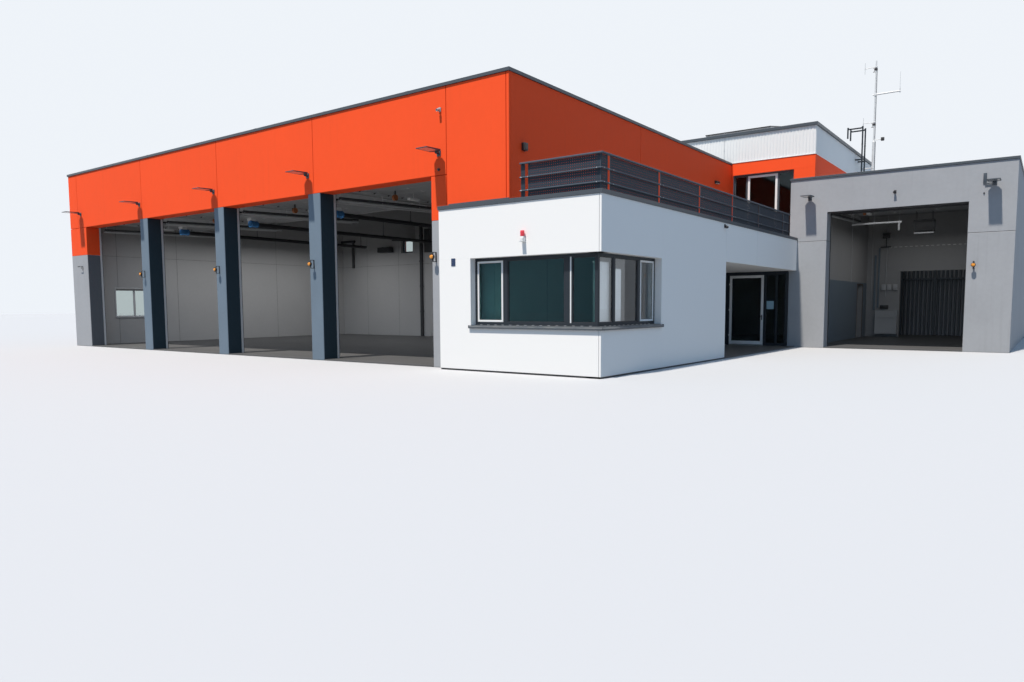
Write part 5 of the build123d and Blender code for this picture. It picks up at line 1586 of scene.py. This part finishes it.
def build_raised_gates():
    panels, fittings, rollers, shafts = [], [], [], []
    for x0, x1, wall_y, rail_z in GATE_BAYS:
        z = rail_z + 0.0303
        start = wall_y + 0.41
        panels += gate_sections(x0 - 0.10, x1 + 0.10, start, z)
        hinge = block(-0.035, 0.035, -0.07, 0.07, z - 0.006, z + 0.001, 0.002)
        knuckle = post((-0.04, 0.0, z - 0.010), (0.04, 0.0, z - 0.010), 0.007, 10)
        for i in range(1, 7):
            y = start + i * 0.56 - 0.005
            for x in (x0 + 0.15, (2 * x0 + x1) / 3, (x0 + 2 * x1) / 3, x1 - 0.15):
                fittings += again(hinge, (x, y, 0)) + again(knuckle, (x, y, 0))
            for x, way in ((x0, -1), (x1, 1)):
                rollers.append(post((x - way * 0.02, y, z - 0.012),
                    (x + way * 0.055, y, z - 0.012), 0.006, 8))
                wheel = post((x + way * 0.035, y, z - 0.012), (x + way * 0.052, y, z - 0.012),
                    0.022, 14)
                rollers.append(round_edges(wheel, 0.002))
        for piece in (hinge, knuckle):
            bpy.data.objects.remove(piece)
        fittings += [block(x, x + 0.08, start + 0.002, start + 3.918, z - 0.003, z - 0.0003, 0.001)
            for x in (x0 - 0.10, x1 + 0.02)]
        seal = block(x0 - 0.10, x1 + 0.10, start - 0.022, start - 0.001, z + 0.002, z + 0.040,
            0.006, 2)
        rollers.append(seal)
        shaft_y, shaft_z = wall_y + 0.13, rail_z + 0.33
        shafts.append(post((x0 - 0.12, shaft_y, shaft_z), (x1 + 0.12, shaft_y, shaft_z), 0.013,
            14))
        for a in (x0 + 0.5, x1 - 1.6):
            coil = post((a, shaft_y, shaft_z), (a + 1.1, shaft_y, shaft_z), 0.045, 20)
            shafts.append(round_edges(coil, 0.004))
        shafts += [block(x, x + 0.04, wall_y, shaft_y + 0.05, shaft_z - 0.06, shaft_z + 0.06,
            0.004) for x in (x0 - 0.09, (x0 + x1) / 2 - 0.02, x1 + 0.05)]
        for x in (x0 - 0.05, x1 - 0.01):
            drum = post((x, shaft_y, shaft_z), (x + 0.06, shaft_y, shaft_z), 0.075, 20)
            shafts.append(round_edges(drum, 0.004))
    merge("raised_gate_panels", panels, "gate_sheet", "gate_panel", "raised_gates")
    merge("raised_gate_hinges", fittings, "track_steel", "steel", smooth=35)
    merge("raised_gate_rollers", rollers, "black_metal", "black_metal", smooth=35)
    merge("gate_shafts", shafts, "spring_steel", "steel", smooth=35)


class STATION_OT_raised_gates(bpy.types.Operator):
    """Raised sectional gates: sections, end stiles, hinges, rollers, shafts and springs"""
    bl_idname = "station.raised_gates"
    bl_label = "Raised gates"

    def execute(self, context):
        build_raised_gates()
        return {"FINISHED"}


def build_track_fittings():
    pieces, buffers, channels, reels, boxes = [], [], [], [], []
    for x0, x1, wall_y, rail_z in GATE_BAYS:
        for x, way in ((x0, -1), (x1, 1)):
            outer = x + way * 0.115
            for z in (0.5, 1.5, 2.5, 3.5, 4.2):
                a, b = sorted((x + way * 0.102, outer))
                pieces.append(block(a, b, wall_y, wall_y + 0.07, z - 0.05, z + 0.05, 0.002))
            for y in (1.2, 2.6, 4.0):
                a, b = sorted((x + way * 0.1005, x + way * 0.106))
                pieces.append(block(a, b, wall_y + y - 0.09, wall_y + y + 0.09, rail_z - 0.02,
                    rail_z + 0.02, 0.001))
            buffers.append(post((x + way * 0.08, wall_y + 4.93, rail_z),
                (x + way * 0.08, wall_y + 5.02, rail_z), 0.026, 16))
        pieces.append(block(x0 - 0.11, x1 + 0.11, wall_y + 4.73, wall_y + 4.77, rail_z + 0.075,
            rail_z + 0.115, 0.003))
        for x in (x0 - 0.08, x1 + 0.08):
            near, far = wall_y + 0.22, wall_y + 4.97
            pieces.append(post((x, near, rail_z - 0.33), (x, far, rail_z - 0.18), 0.034, 8))
            channels.append(post((x, near + 0.05, rail_z - 0.25), (x, far, rail_z - 0.10), 0.032,
                8))
            for share in (0.02, 0.35, 0.68, 0.98):
                y, z = near + share * (far - near), rail_z - 0.33 + share * 0.15
                pieces.append(upright(x, y, z, rail_z, 0.012, 8))
        x, y, z = x0 + 0.72, wall_y + 1.60, rail_z - 0.16
        drum = post((x - 0.04, y, z), (x + 0.04, y, z), 0.085, 24)
        reels.append(round_edges(dish(drum, lambda c: abs(c.x - ANNEX_X1 - x) > 0.035, 0.02,
            0.012), 0.004))
        channels.append(block(x - 0.02, x + 0.02, y - 0.02, y + 0.02, z + 0.07, rail_z + 0.032,
            0.003))
        box = block(x - 0.06, x + 0.06, y + 0.55, y + 0.95, z, z + 0.07, 0.012, 2)
        boxes += [box, upright(x, y + 0.75, z + 0.06, rail_z + 0.032, 0.01, 8)]
    merge("track_brackets", pieces, "track_steel", "steel")
    merge("gate_cable_channels", channels, "duct_metal", "dark_metal", smooth=35)
    merge("gate_lead_reels", reels, "reel_orange", "amber", smooth=35)
    merge("gate_lead_boxes", boxes, "white_sheet", "white_metal", smooth=35)
    merge("track_buffers", [round_edges(b, 0.004, 2) for b in buffers], "black_metal",
        "black_metal", smooth=35)


class STATION_OT_track_fittings(bpy.types.Operator):
    """Wall brackets, splice plates, cross braces and buffers of the gate rails"""
    bl_idname = "station.track_fittings"
    bl_label = "Track fittings"

    def execute(self, context):
        build_track_fittings()
        return {"FINISHED"}


def build_exhaust_rails():
    rails, ends, boxes = [], [], []
    z = 4.37
    for x in (-20.265, -15.765, -11.265):
        rails.append(post((x, 3.26, z), (x, 12.5, z), 0.062, 24))
        for y in (4.6, 6.36, 8.0, 9.36, 10.9, 12.16):
            collar = post((x, y - 0.03, z), (x, y + 0.03, z), 0.072, 24)
            rails.append(round_edges(collar, 0.004))
        rails.append(block(x - 0.012, x + 0.012, 3.30, 12.45, z - 0.078, z - 0.054, 0.003))
        for y in (6.36, 9.36, 12.16):
            rails += [upright(x, y, z, HALL_CEILING, 0.012, 10),
                block(x - 0.05, x + 0.05, y - 0.05, y + 0.05, 6.112, HALL_CEILING, 0.003)]
        end = post((x, 2.96, z), (x, 3.262, z), 0.115, 28)
        dish(end, lambda c: c.y < ANNEX_Y0 + 2.961, 0.022, 0.02)
        ends.append(round_edges(end, 0.004, 2))
        for y in (3.0, 3.22):
            ring = post((x, y - 0.018, z), (x, y + 0.018, z), 0.124, 28)
            ends.append(round_edges(ring, 0.004))
        box = block(x - 0.24, x + 0.04, 2.99, 3.21, z + 0.085, z + 0.215)
        nudge(box, lambda c: c.x < ANNEX_X1 + x - 0.2 and c.z < z + 0.1, (0.08, 0, 0))
        boxes += [round_edges(box, 0.012, 2), upright(x - 0.10, 3.10, z + 0.20, z + 0.30, 0.02,
            14)]
    merge("exhaust_rails_dressed", rails, "black_metal", "black_metal", "exhaust_rails", smooth=35)
    merge("exhaust_ends_dressed", ends, "blue_paint", "blue_paint", "exhaust_rail_ends", smooth=35)
    merge("exhaust_drive_boxes", boxes, "white_sheet", "white_metal", smooth=35)


class STATION_OT_exhaust_rails(bpy.types.Operator):
    """Slotted exhaust rails with collars, hangers, blue ends and pale drive boxes"""
    bl_idname = "station.exhaust_rails"
    bl_label = "Exhaust rails"

    def execute(self, context):
        build_exhaust_rails()
        return {"FINISHED"}


def cable_tray(x, y0, y1, z):
    """A cable tray with turned-up sides, on hangers from the ceiling."""
    parts = [block(x - 0.10, x + 0.10, y0, y1, z, z + 0.003),
        *blocks([(x - 0.103, x - 0.10, y0, y1, z, z + 0.05),
        (x + 0.10, x + 0.103, y0, y1, z, z + 0.05)], 0.001)]
    count = int((y1 - y0) / 2.4)
    for i in range(count + 1):
        y = y0 + 0.3 + i * 2.4
        parts.append(block(x - 0.115, x + 0.115, y, y + 0.03, z - 0.022, z - 0.0005, 0.002))
        parts += [upright(x + side, y + 0.015, z - 0.02, HALL_CEILING, 0.005, 8)
            for side in (-0.108, 0.108)]
    return parts


def batten(x, y0, y1, z):
    """A long lamp: its tray, end caps and two hangers."""
    body = block(x - 0.045, x + 0.045, y0, y1, z, z + 0.05)
    nudge(body, lambda c: c.z > z + 0.04, (0, 0, 0.006))
    tube = post((x, y0 + 0.03, z - 0.012), (x, y1 - 0.03, z - 0.012), 0.014, 12)
    hangers = [upright(x, y, z + 0.05, HALL_CEILING, 0.003, 6) for y in (y0 + 0.3, y1 - 0.3)]
    return [round_edges(body, 0.006, 2)] + hangers, [tube]


def build_hall_inside():
    ribs = []
    spans = ((-23.13, -18.14), (-17.89, -13.64), (-13.39, -9.14), (-8.89, -2.885))
    for a, b in spans:
        rib = block(a, b, 0.95, 1.03, 6.085, HALL_CEILING)
        nudge(rib, lambda c: c.z < 6.1 and c.y < ANNEX_Y0 + 0.99, (0, 0.02, 0))
        nudge(rib, lambda c: c.z < 6.1 and c.y > ANNEX_Y0 + 0.99, (0, -0.02, 0))
        ribs += series(rib, 1, 0.25, 50)
    merge("hall_ceiling_ribs", ribs, "ceiling_sheet", "white_metal")
    trays, bodies, tubes = [], [], []
    for x in (-18.9, -14.4, -9.9, -3.3):
        trays += cable_tray(x, 1.2, 13.3, 5.45)
    merge("hall_cable_trays", trays, "track_steel", "steel")
    for x in (-21.6, -16.7, -12.2, -7.7, -5.2):
        for y in (2.2, 5.2, 8.2, 11.2):
            body, tube = batten(x, y, y + 1.5, 5.30)
            bodies += body
            tubes += tube
    bodies.append(block(-18.95, -18.05, 13.30, 13.40, 4.97, 5.05, 0.008, 2))
    bodies += [block(x, x + 0.03, 13.36, 13.50, 5.00, 5.03, 0.002) for x in (-18.8, -18.2)]
    tubes.append(post((-18.90, 13.35, 4.955), (-18.10, 13.35, 4.955), 0.016, 12))
    merge("hall_lamps", bodies, "white_sheet", "white_metal", smooth=35)
    merge("hall_lamp_tubes", tubes, "lamp_tube", "white_metal", smooth=35)
    ducts = [pipe([place(-23.13, 13.42, 4.81), place(-21.98, 13.42, 4.81),
        place(-21.98, 13.42, 3.45)], 0.065, 0.14, 16),
        post((-19.40, 13.44, 4.72), (-17.50, 13.44, 4.63), 0.04, 14),
        block(-17.54, -17.40, 13.40, 13.50, 0.03, HALL_CEILING, 0.004),
        block(-17.20, -16.55, 13.37, 13.50, 4.03, 5.13, 0.008, 2)]
    ducts += [block(-17.56, -17.38, 13.39, 13.50, z, z + 0.05, 0.003) for z in (1.2, 2.4, 3.6,
        4.8)]
    heater = block(-20.15, -19.35, 13.12, 13.46, 4.13, 4.38)
    dish(heater, lambda c: c.y < ANNEX_Y0 + 13.13, 0.03, 0.02)
    ducts.append(round_edges(heater, 0.01, 2))
    ducts += [block(-20.11, -19.39, 13.125, 13.139, 4.165 + i * 0.034, 4.177 + i * 0.034, 0.002)
        for i in range(6)]
    ducts += [block(x, x + 0.04, 13.30, 13.50, 4.38, 4.41, 0.002) for x in (-20.0, -19.5)]
    merge("hall_ducts", ducts, "duct_metal", "dark_metal", smooth=35)


class STATION_OT_hall_inside(bpy.types.Operator):
    """Ceiling ribs, cable trays, lamps, ducts and a heater in the vehicle hall"""
    bl_idname = "station.hall_inside"
    bl_label = "Hall inside"

    def execute(self, context):
        build_hall_inside()
        return {"FINISHED"}


def build_plain_windows():
    x0, x1, y0, y1, z0, z1 = -23.33, -23.27, 1.75, 3.33, 1.067, 2.217
    pale = ring_y(x0, x1, y0, y1, z0, z1, 0.055, 0.003)
    pale.append(block(x0, x1, 2.5125, 2.5675, z0 + 0.055, z1 - 0.055, 0.003))
    for a, b in ((1.805, 2.5125), (2.5675, 3.275)):
        pale += ring_y(x1 - 0.014, x1 - 0.002, a, b, z0 + 0.055, z1 - 0.055, 0.016, 0.002)
    pale.append(block(-23.26, -23.08, y0 - 0.03, y1 + 0.03, z0 - 0.004, z0 + 0.016, 0.005, 2))
    pale += ring_y(-23.13, -23.118, y0 - 0.05, y1 + 0.05, z0 + 0.017, z1 + 0.05, 0.05, 0.003)
    merge("left_window_dressed", pale, "window_grey", "white_metal", "window_frames")
    dark, sills = [], []
    places = [(-18.88, -18.08, 13.65, 4.07, 4.70)]
    for x in (-8.12, -6.82, -2.72, -1.42):
        places += [(x, x + 1.0, 23.05, z, z + 1.35) for z in (1.0, 4.5)]
    for a, b, y, low, high in places:
        dark += ring_x(a, b, y, y + 0.06, low, high, 0.055, 0.003)
        dark += ring_x(a + 0.055, b - 0.055, y + 0.042, y + 0.056, low + 0.055, high - 0.055,
            0.016, 0.002)
        dark += ring_x(a + 0.055, b - 0.055, y + 0.002, y + 0.010, low + 0.055, high - 0.055,
            0.016, 0.002)
    for a, b, y, low, high in places[1:]:
        out = 23.27 if low > 3 else 23.21
        sill = block(a - 0.01, b + 0.01, y + 0.0605, out, low - 0.002, low + 0.020)
        nudge(sill, lambda c: c.y > ANNEX_Y0 + y + 0.1 and c.z > low + 0.01, (0, 0, -0.012))
        sills.append(round_edges(sill, 0.002))
    merge("rear_windows_dressed", dark, "anthracite_metal", "dark_metal", "window_frames")
    merge("rear_window_sills", sills, "anthracite_metal", "dark_metal")


class STATION_OT_plain_windows(bpy.types.Operator):
    """Frames, beads and sills of the hall's and the rear's windows"""
    bl_idname = "station.plain_windows"
    bl_label = "Plain windows"

    def execute(self, context):
        build_plain_windows()
        return {"FINISHED"}


def build_wash_inside():
    dado = blocks([(0.3402, 0.346, 14.21, 21.28, 0.03, 2.38),
        (0.3402, 0.346, 22.42, 23.18, 0.03, 2.38), (0.3402, 0.346, 21.285, 22.415, 2.32, 2.379)],
        0.002)
    merge("wash_dado", dado, "dado_paint", "column_slate")
    door = blocks([(0.330, 0.352, 21.27, 22.43, 2.29, 2.32),
        (0.330, 0.352, 21.27, 21.30, 0.03, 2.29), (0.330, 0.352, 22.40, 22.43, 0.03, 2.29)], 0.003)
    merge("wash_door_lining", door, "lining_wood", "dark_metal")
    y = 23.20
    pale = [pipe([place(1.06, 16.5, 4.33), place(2.75, 16.5, 4.33), place(2.75, 16.5, 4.04)],
        0.032, 0.08, 16), upright(0.55, y - 0.02, 1.6, WASH_CEILING, 0.013, 12),
        upright(1.12, y - 0.03, 1.8, WASH_CEILING, 0.018, 12),
        upright(0.36, 19.99, 2.38, WASH_CEILING, 0.010, 10)]
    pale += [upright(x, 16.5, 4.33, WASH_CEILING, 0.005, 8) for x in (1.1, 1.8, 2.6)]
    pale += [block(x, x + 0.16, y - 0.09, y, 2.06, 2.32, 0.008, 2) for x in (0.96, 1.18, 1.42)]
    cabinet = block(0.76, 1.63, y - 0.24, y, 0.16, 1.18)
    dish(cabinet, lambda c: c.y < ANNEX_Y0 + y - 0.235, 0.02, 0.006)
    pale += [round_edges(cabinet, 0.006), block(0.86, 1.50, y - 0.262, y - 0.233, 0.86, 0.92,
        0.004)]
    strip = block(2.87, 3.50, 17.88, 17.96, 4.00, 4.045, 0.010, 2)
    pale.append(strip)
    merge("wash_conduits", pale, "window_grey", "white_metal", smooth=35)
    risers = blocks([(0.64, 0.72, y - 0.06, y, 1.2, 3.6), (0.80, 0.86, y - 0.05, y, 1.3, 3.9)],
        0.006)
    merge("wash_risers", risers, "dado_paint", "dark_metal")
    dark = [block(0.93, 1.25, y - 0.12, y, 1.26, 1.41, 0.01, 2),
        block(0.98, 1.25, y - 0.30, y - 0.10, 4.31, 4.52, 0.015, 2),
        upright(1.12, y - 0.20, 4.31, 3.95, 0.02, 12),
        block(0.90, 1.30, y - 0.26, y - 0.14, 3.91, 3.95, 0.006)]
    heater = block(2.85, 3.51, 17.85, 18.25, 4.10, 4.50)
    dish(heater, lambda c: c.y < ANNEX_Y0 + 17.86, 0.025, 0.03)
    dark.append(round_edges(heater, 0.008, 2))
    for i in range(9):
        fin = block(2.89, 3.47, 17.856, 17.878, 4.135 + i * 0.038, 4.145 + i * 0.038, 0.002)
        nudge(fin, lambda c: c.y < ANNEX_Y0 + 17.86, (0, 0, -0.012))
        dark.append(fin)
    for x in (2.92, 3.44):
        dark += [upright(x, back, 4.50, WASH_CEILING, 0.006, 8) for back in (17.92, 18.18)]
    merge("wash_heater_and_boxes", dark, "duct_metal", "dark_metal", smooth=35)
    row = block(1.20, 1.31, y - 0.03, y, 3.905, 3.935, 0.004)
    merge("wash_lamp_row", series(row, 0, 0.2, 23), "lamp_tube", "white_metal")
    back = 25.90
    rib = block(0.40, 0.50, back - 0.035, back, 0.03, WASH_CEILING)
    nudge(rib, lambda c: c.y < ANNEX_Y0 + back - 0.03 and c.x < ANNEX_X1 + 0.45, (0.02, 0, 0))
    nudge(rib, lambda c: c.y < ANNEX_Y0 + back - 0.03 and c.x > ANNEX_X1 + 0.45, (-0.02, 0, 0))
    ribs = series(rib, 0, 0.17, 32)
    ribs += [block(x, x + 0.10, back - 0.12, back - 0.001, 0.03, WASH_CEILING, 0.004)
        for x in (1.30, 2.64, 3.98, 5.32)]
    ribs.append(block(0.35, 5.81, back - 0.10, back - 0.002, 2.55, 2.63, 0.004))
    merge("store_ribbed_wall", ribs, "store_sheet", "gate_panel")


class STATION_OT_wash_inside(bpy.types.Operator):
    """Dado, conduits, boxes, heater and lamps of the wash bay, and the store's ribbed wall"""
    bl_idname = "station.wash_inside"
    bl_label = "Wash bay inside"

    def execute(self, context):
        build_wash_inside()
        return {"FINISHED"}


def build_solar_panels():
    roof_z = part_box("block_roof")[1][2]
    slope = math.atan2(0.29, 1.65)
    length = math.hypot(0.29, 1.65)
    glass, metal, legs = [], [], []
    for i in range(2):
        for j in range(3):
            x, y = -3.756 + i * 1.22, 14.50 + j * 2.7
            start = place(x, y, roof_z + 0.2)
            w, f = 1.2, 0.032
            parts = [bar((f, f, 0.008), (w - f, length - f, 0.030), 0.001),
                *bars([(0, w, 0, f, 0, 0.038), (0, w, length - f, length, 0, 0.038),
                (0, f, f, length - f, 0, 0.038), (w - f, w, f, length - f, 0, 0.038)], 0.002)]
            for part in parts:
                part.rotation_euler = (slope, 0, 0)
                part.location = start
                settle(part)
            glass.append(parts[0])
            metal += parts[1:]
            for back in (0.06, 1.55):
                top = 0.2 + 0.29 * (back + 0.04) / 1.65
                legs.append(block(x, x + w, y + back, y + back + 0.04, roof_z + top - 0.042,
                    roof_z + top - 0.006, 0.002))
                legs += [block(leg, leg + 0.04, y + back, y + back + 0.04, roof_z,
                    roof_z + top - 0.043, 0.002) for leg in (x + 0.001, x + w - 0.041)]
    merge("solar_glass_dressed", glass, "solar_glass", "solar", "solar_panels")
    merge("solar_frames", metal, "black_metal", "black_metal")
    merge("solar_legs", legs, "mast_steel", "steel")


class STATION_OT_solar_panels(bpy.types.Operator):
    """Framed solar panels tilted on legs, on the block's roof"""
    bl_idname = "station.solar_panels"
    bl_label = "Solar panels"

    def execute(self, context):
        build_solar_panels()
        return {"FINISHED"}


def build_pipes_and_mast():
    pipes = []
    for y in (19.80, 20.30):
        pipes.append(pipe([place(0.65, y, 5.48), place(0.65, y, 8.60), place(0.10, y, 8.60),
            place(0.10, y, 8.10)], 0.0295, 0.07, 16))
        for z in (6.4, 7.8):
            sleeve = upright(0.65, y, z, z + 0.06, 0.034, 16)
            pipes.append(round_edges(sleeve, 0.003))
        pipes += [*blocks([(0.40, 0.65, y - 0.02, y + 0.02, 6.335, 6.375),
            (0.40, 0.68, y - 0.03, y + 0.03, 7.20, 7.25)], 0.003),
            upright(0.65, y, 6.33, 6.38, 0.037, 16)]
        foot = upright(0.65, y, 5.48, 5.58, 0.07, 20, end_radius=0.034)
        pipes.append(foot)
    merge("vent_pipes_dressed", pipes, "frame_paint", "dark_metal", "vent_pipes", smooth=40)
    x, y = 0.82, 21.10
    mast = [upright(x, y, 5.48, 8.10, 0.055, 20),
        upright(x, y, 8.10, 8.16, 0.055, 20, end_radius=0.036),
        upright(x, y, 8.15, 11.35, 0.034, 20, end_radius=0.028),
        post((x - 0.09, y, 10.0), (x + 0.93, y, 10.0), 0.032, 16),
        upright(x + 0.898, y, 9.93, 10.12, 0.022, 14),
        upright(x + 0.898, y, 10.10, 10.76, 0.011, 10, end_radius=0.006),
        post((x, y, 8.18), (x + 0.33, y, 8.18), 0.013, 12)]
    mast += [round_edges(upright(x, y, z, z + 0.05, 0.062, 20), 0.004) for z in (5.985, 7.035)]
    mast += [block(0.40, x - 0.03, y - 0.02, y + 0.02, z, z + 0.04, 0.003) for z in (5.99, 7.04)]
    mast.append(block(x - 0.05, x + 0.05, y - 0.05, y + 0.05, 9.95, 10.05, 0.006))
    boxes = []
    for z in (8.9, 11.1):
        boxes.append(pipe([place(x - 0.02, y - 0.03, z - 0.20),
            place(x - 0.16, y - 0.03, z - 0.20), place(x - 0.16, y - 0.03, z - 0.05),
            place(x - 0.03, y - 0.03, z - 0.05)], 0.009, 0.05, 8))
        mast += [post((x, y, z), (x - 0.42, y, z), 0.013, 12),
            upright(x - 0.418, y, z - 0.23, z + 0.23, 0.010, 12),
            round_edges(upright(x - 0.418, y, z - 0.03, z + 0.03, 0.020, 14), 0.002)]
        boxes.append(block(x - 0.05, x + 0.05, y - 0.05, y + 0.05, z - 0.134, z - 0.046, 0.008, 2))
        mast.append(block(x - 0.044, x + 0.044, y - 0.044, y + 0.044, z - 0.02, z + 0.02, 0.005))
    mast += [post((x + 0.898, y, 10.10), (x + 0.898 + dx * 0.3, y + dy, 10.06), 0.004, 6)
        for dx, dy in ((0.10, 0), (-0.10, 0), (0, 0.10), (0, -0.10))]
    merge("antenna_mast_dressed", mast, "mast_steel", "steel", "antenna_mast", smooth=35)
    boxes.append(block(x + 0.27, x + 0.39, y - 0.055, y + 0.055, 8.12, 8.25, 0.010, 2))
    boxes += [round_edges(upright(x, y, z, z + 0.05, 0.064, 20), 0.004) for z in (5.62, 6.10)]
    clip = block(x + 0.028, x + 0.045, y - 0.012, y + 0.012, 8.30, 8.33, 0.002)
    boxes += series(clip, 2, 0.45, 6)
    boxes += [upright(x + 0.042, y, 8.22, 11.0, 0.008, 8),
        upright(x + 0.065, y, 5.50, 8.12, 0.009, 8)]
    merge("antenna_boxes_and_lines", boxes, "black_metal", "black_metal", smooth=35)


class STATION_OT_pipes_and_mast(bpy.types.Operator):
    """Hooked vent pipes, and the antenna mast with its arm, aerials, clamps and cables"""
    bl_idname = "station.pipes_and_mast"
    bl_label = "Pipes and mast"

    def execute(self, context):
        build_pipes_and_mast()
        return {"FINISHED"}


def roof_outlet(x, y, z):
    drum = upright(x, y, z, z + 0.035, 0.16, 24, end_radius=0.11)
    basket = upright(x, y, z + 0.033, z + 0.11, 0.075, 16, end_radius=0.05)
    dish(basket, lambda c: c.z > z + 0.10, 0.012, 0.01)
    return [round_edges(drum, 0.004), round_edges(basket, 0.003)]


def build_roof_details():
    z = 6.33
    seams = []
    for i in range(19):
        x = -22.1 + i * 1.05
        seams.append(block(x, x + 0.05, 0.85, 13.48, z - 0.001, z + 0.004, 0.001))
    seams += [block(a, b, c, d, z - 0.001, z + 0.10, 0.02)
        for a, b, c, d in ((-23.13, -23.05, 0.83, 13.50), (-2.965, -2.885, 0.83, 13.50))]
    seams += [block(-23.05, -2.965, c, d, z - 0.001, z + 0.10, 0.02) for c, d in ((0.83, 0.91),
        (13.42, 13.50))]
    for x in (-19.5, -13.0, -6.5):
        seams += roof_outlet(x, 12.4, z)
    z = 5.48
    for i in range(4):
        x = 1.35 + i * 1.05
        seams.append(block(x, x + 0.05, 13.95, 25.85, z - 0.001, z + 0.004, 0.001))
    seams += roof_outlet(4.9, 24.5, z)
    merge("roof_seams", seams, "roof_membrane", "roof_membrane", smooth=30)
    slabs = []
    for i in range(4):
        for j in range(26):
            x0, y0 = -2.475 + i * 0.53, 0.40 + j * 0.519
            x1, y1 = x0 + 0.524, y0 + 0.513
            if i == 3 and y0 < 6.74:
                x1 = min(x1, -0.36)
            slabs.append(block(x0, x1, y0, y1, 3.5502, 3.566, 0.003))
    merge("terrace_slabs", slabs, "deck_concrete", "concrete_grey")


class STATION_OT_roof_details(bpy.types.Operator):
    """Welded seams, upstands and outlets of the flat roofs, and joints of the terrace deck"""
    bl_idname = "station.roof_details"
    bl_label = "Roof details"

    def execute(self, context):
        build_roof_details()
        return {"FINISHED"}


CLASSES = [StationColours, StationSizes, STATION_OT_stage, STATION_OT_node_finishes,
    STATION_OT_facade_panels, STATION_OT_piers_and_columns, STATION_OT_column_guides,
    STATION_OT_railing, STATION_OT_floodlights, STATION_OT_gate_beacons, STATION_OT_alarm_light,
    STATION_OT_annex_walls, STATION_OT_copings, STATION_OT_block_panels, STATION_OT_wash_front,
    STATION_OT_corner_window, STATION_OT_entrance, STATION_OT_terrace_door,
    STATION_OT_small_fittings, STATION_OT_raised_gates, STATION_OT_track_fittings,
    STATION_OT_exhaust_rails, STATION_OT_hall_inside, STATION_OT_plain_windows,
    STATION_OT_wash_inside, STATION_OT_solar_panels, STATION_OT_pipes_and_mast,
    STATION_OT_roof_details]
STEPS = [c.bl_idname for c in CLASSES if issubclass(c, bpy.types.Operator)]


class STATION_PT_panel(bpy.types.Panel):
    """Lists the steps in the sidebar"""
    bl_idname = "STATION_PT_panel"
    bl_label = "Fire station"
    bl_space_type = "VIEW_3D"
    bl_region_type = "UI"
    bl_category = "Station"

    def draw(self, context):
        for settings in (context.scene.station_colours, context.scene.station_sizes):
            for key in settings.__annotations__:
                self.layout.prop(settings, key)
        for step in STEPS:
            self.layout.operator(step)


def register():
    for item in CLASSES + [STATION_PT_panel]:
        bpy.utils.register_class(item)
    bpy.types.Scene.station_colours = bpy.props.PointerProperty(type=StationColours)
    bpy.types.Scene.station_sizes = bpy.props.PointerProperty(type=StationSizes)


def unregister():
    del bpy.types.Scene.station_sizes
    del bpy.types.Scene.station_colours
    for item in reversed(CLASSES + [STATION_PT_panel]):
        bpy.utils.unregister_class(item)


def main():
    register()
    for step in STEPS:
        group, name = step.split(".")
        getattr(getattr(bpy.ops, group), name)()
    lone()


if __name__ == "__main__":
    main()
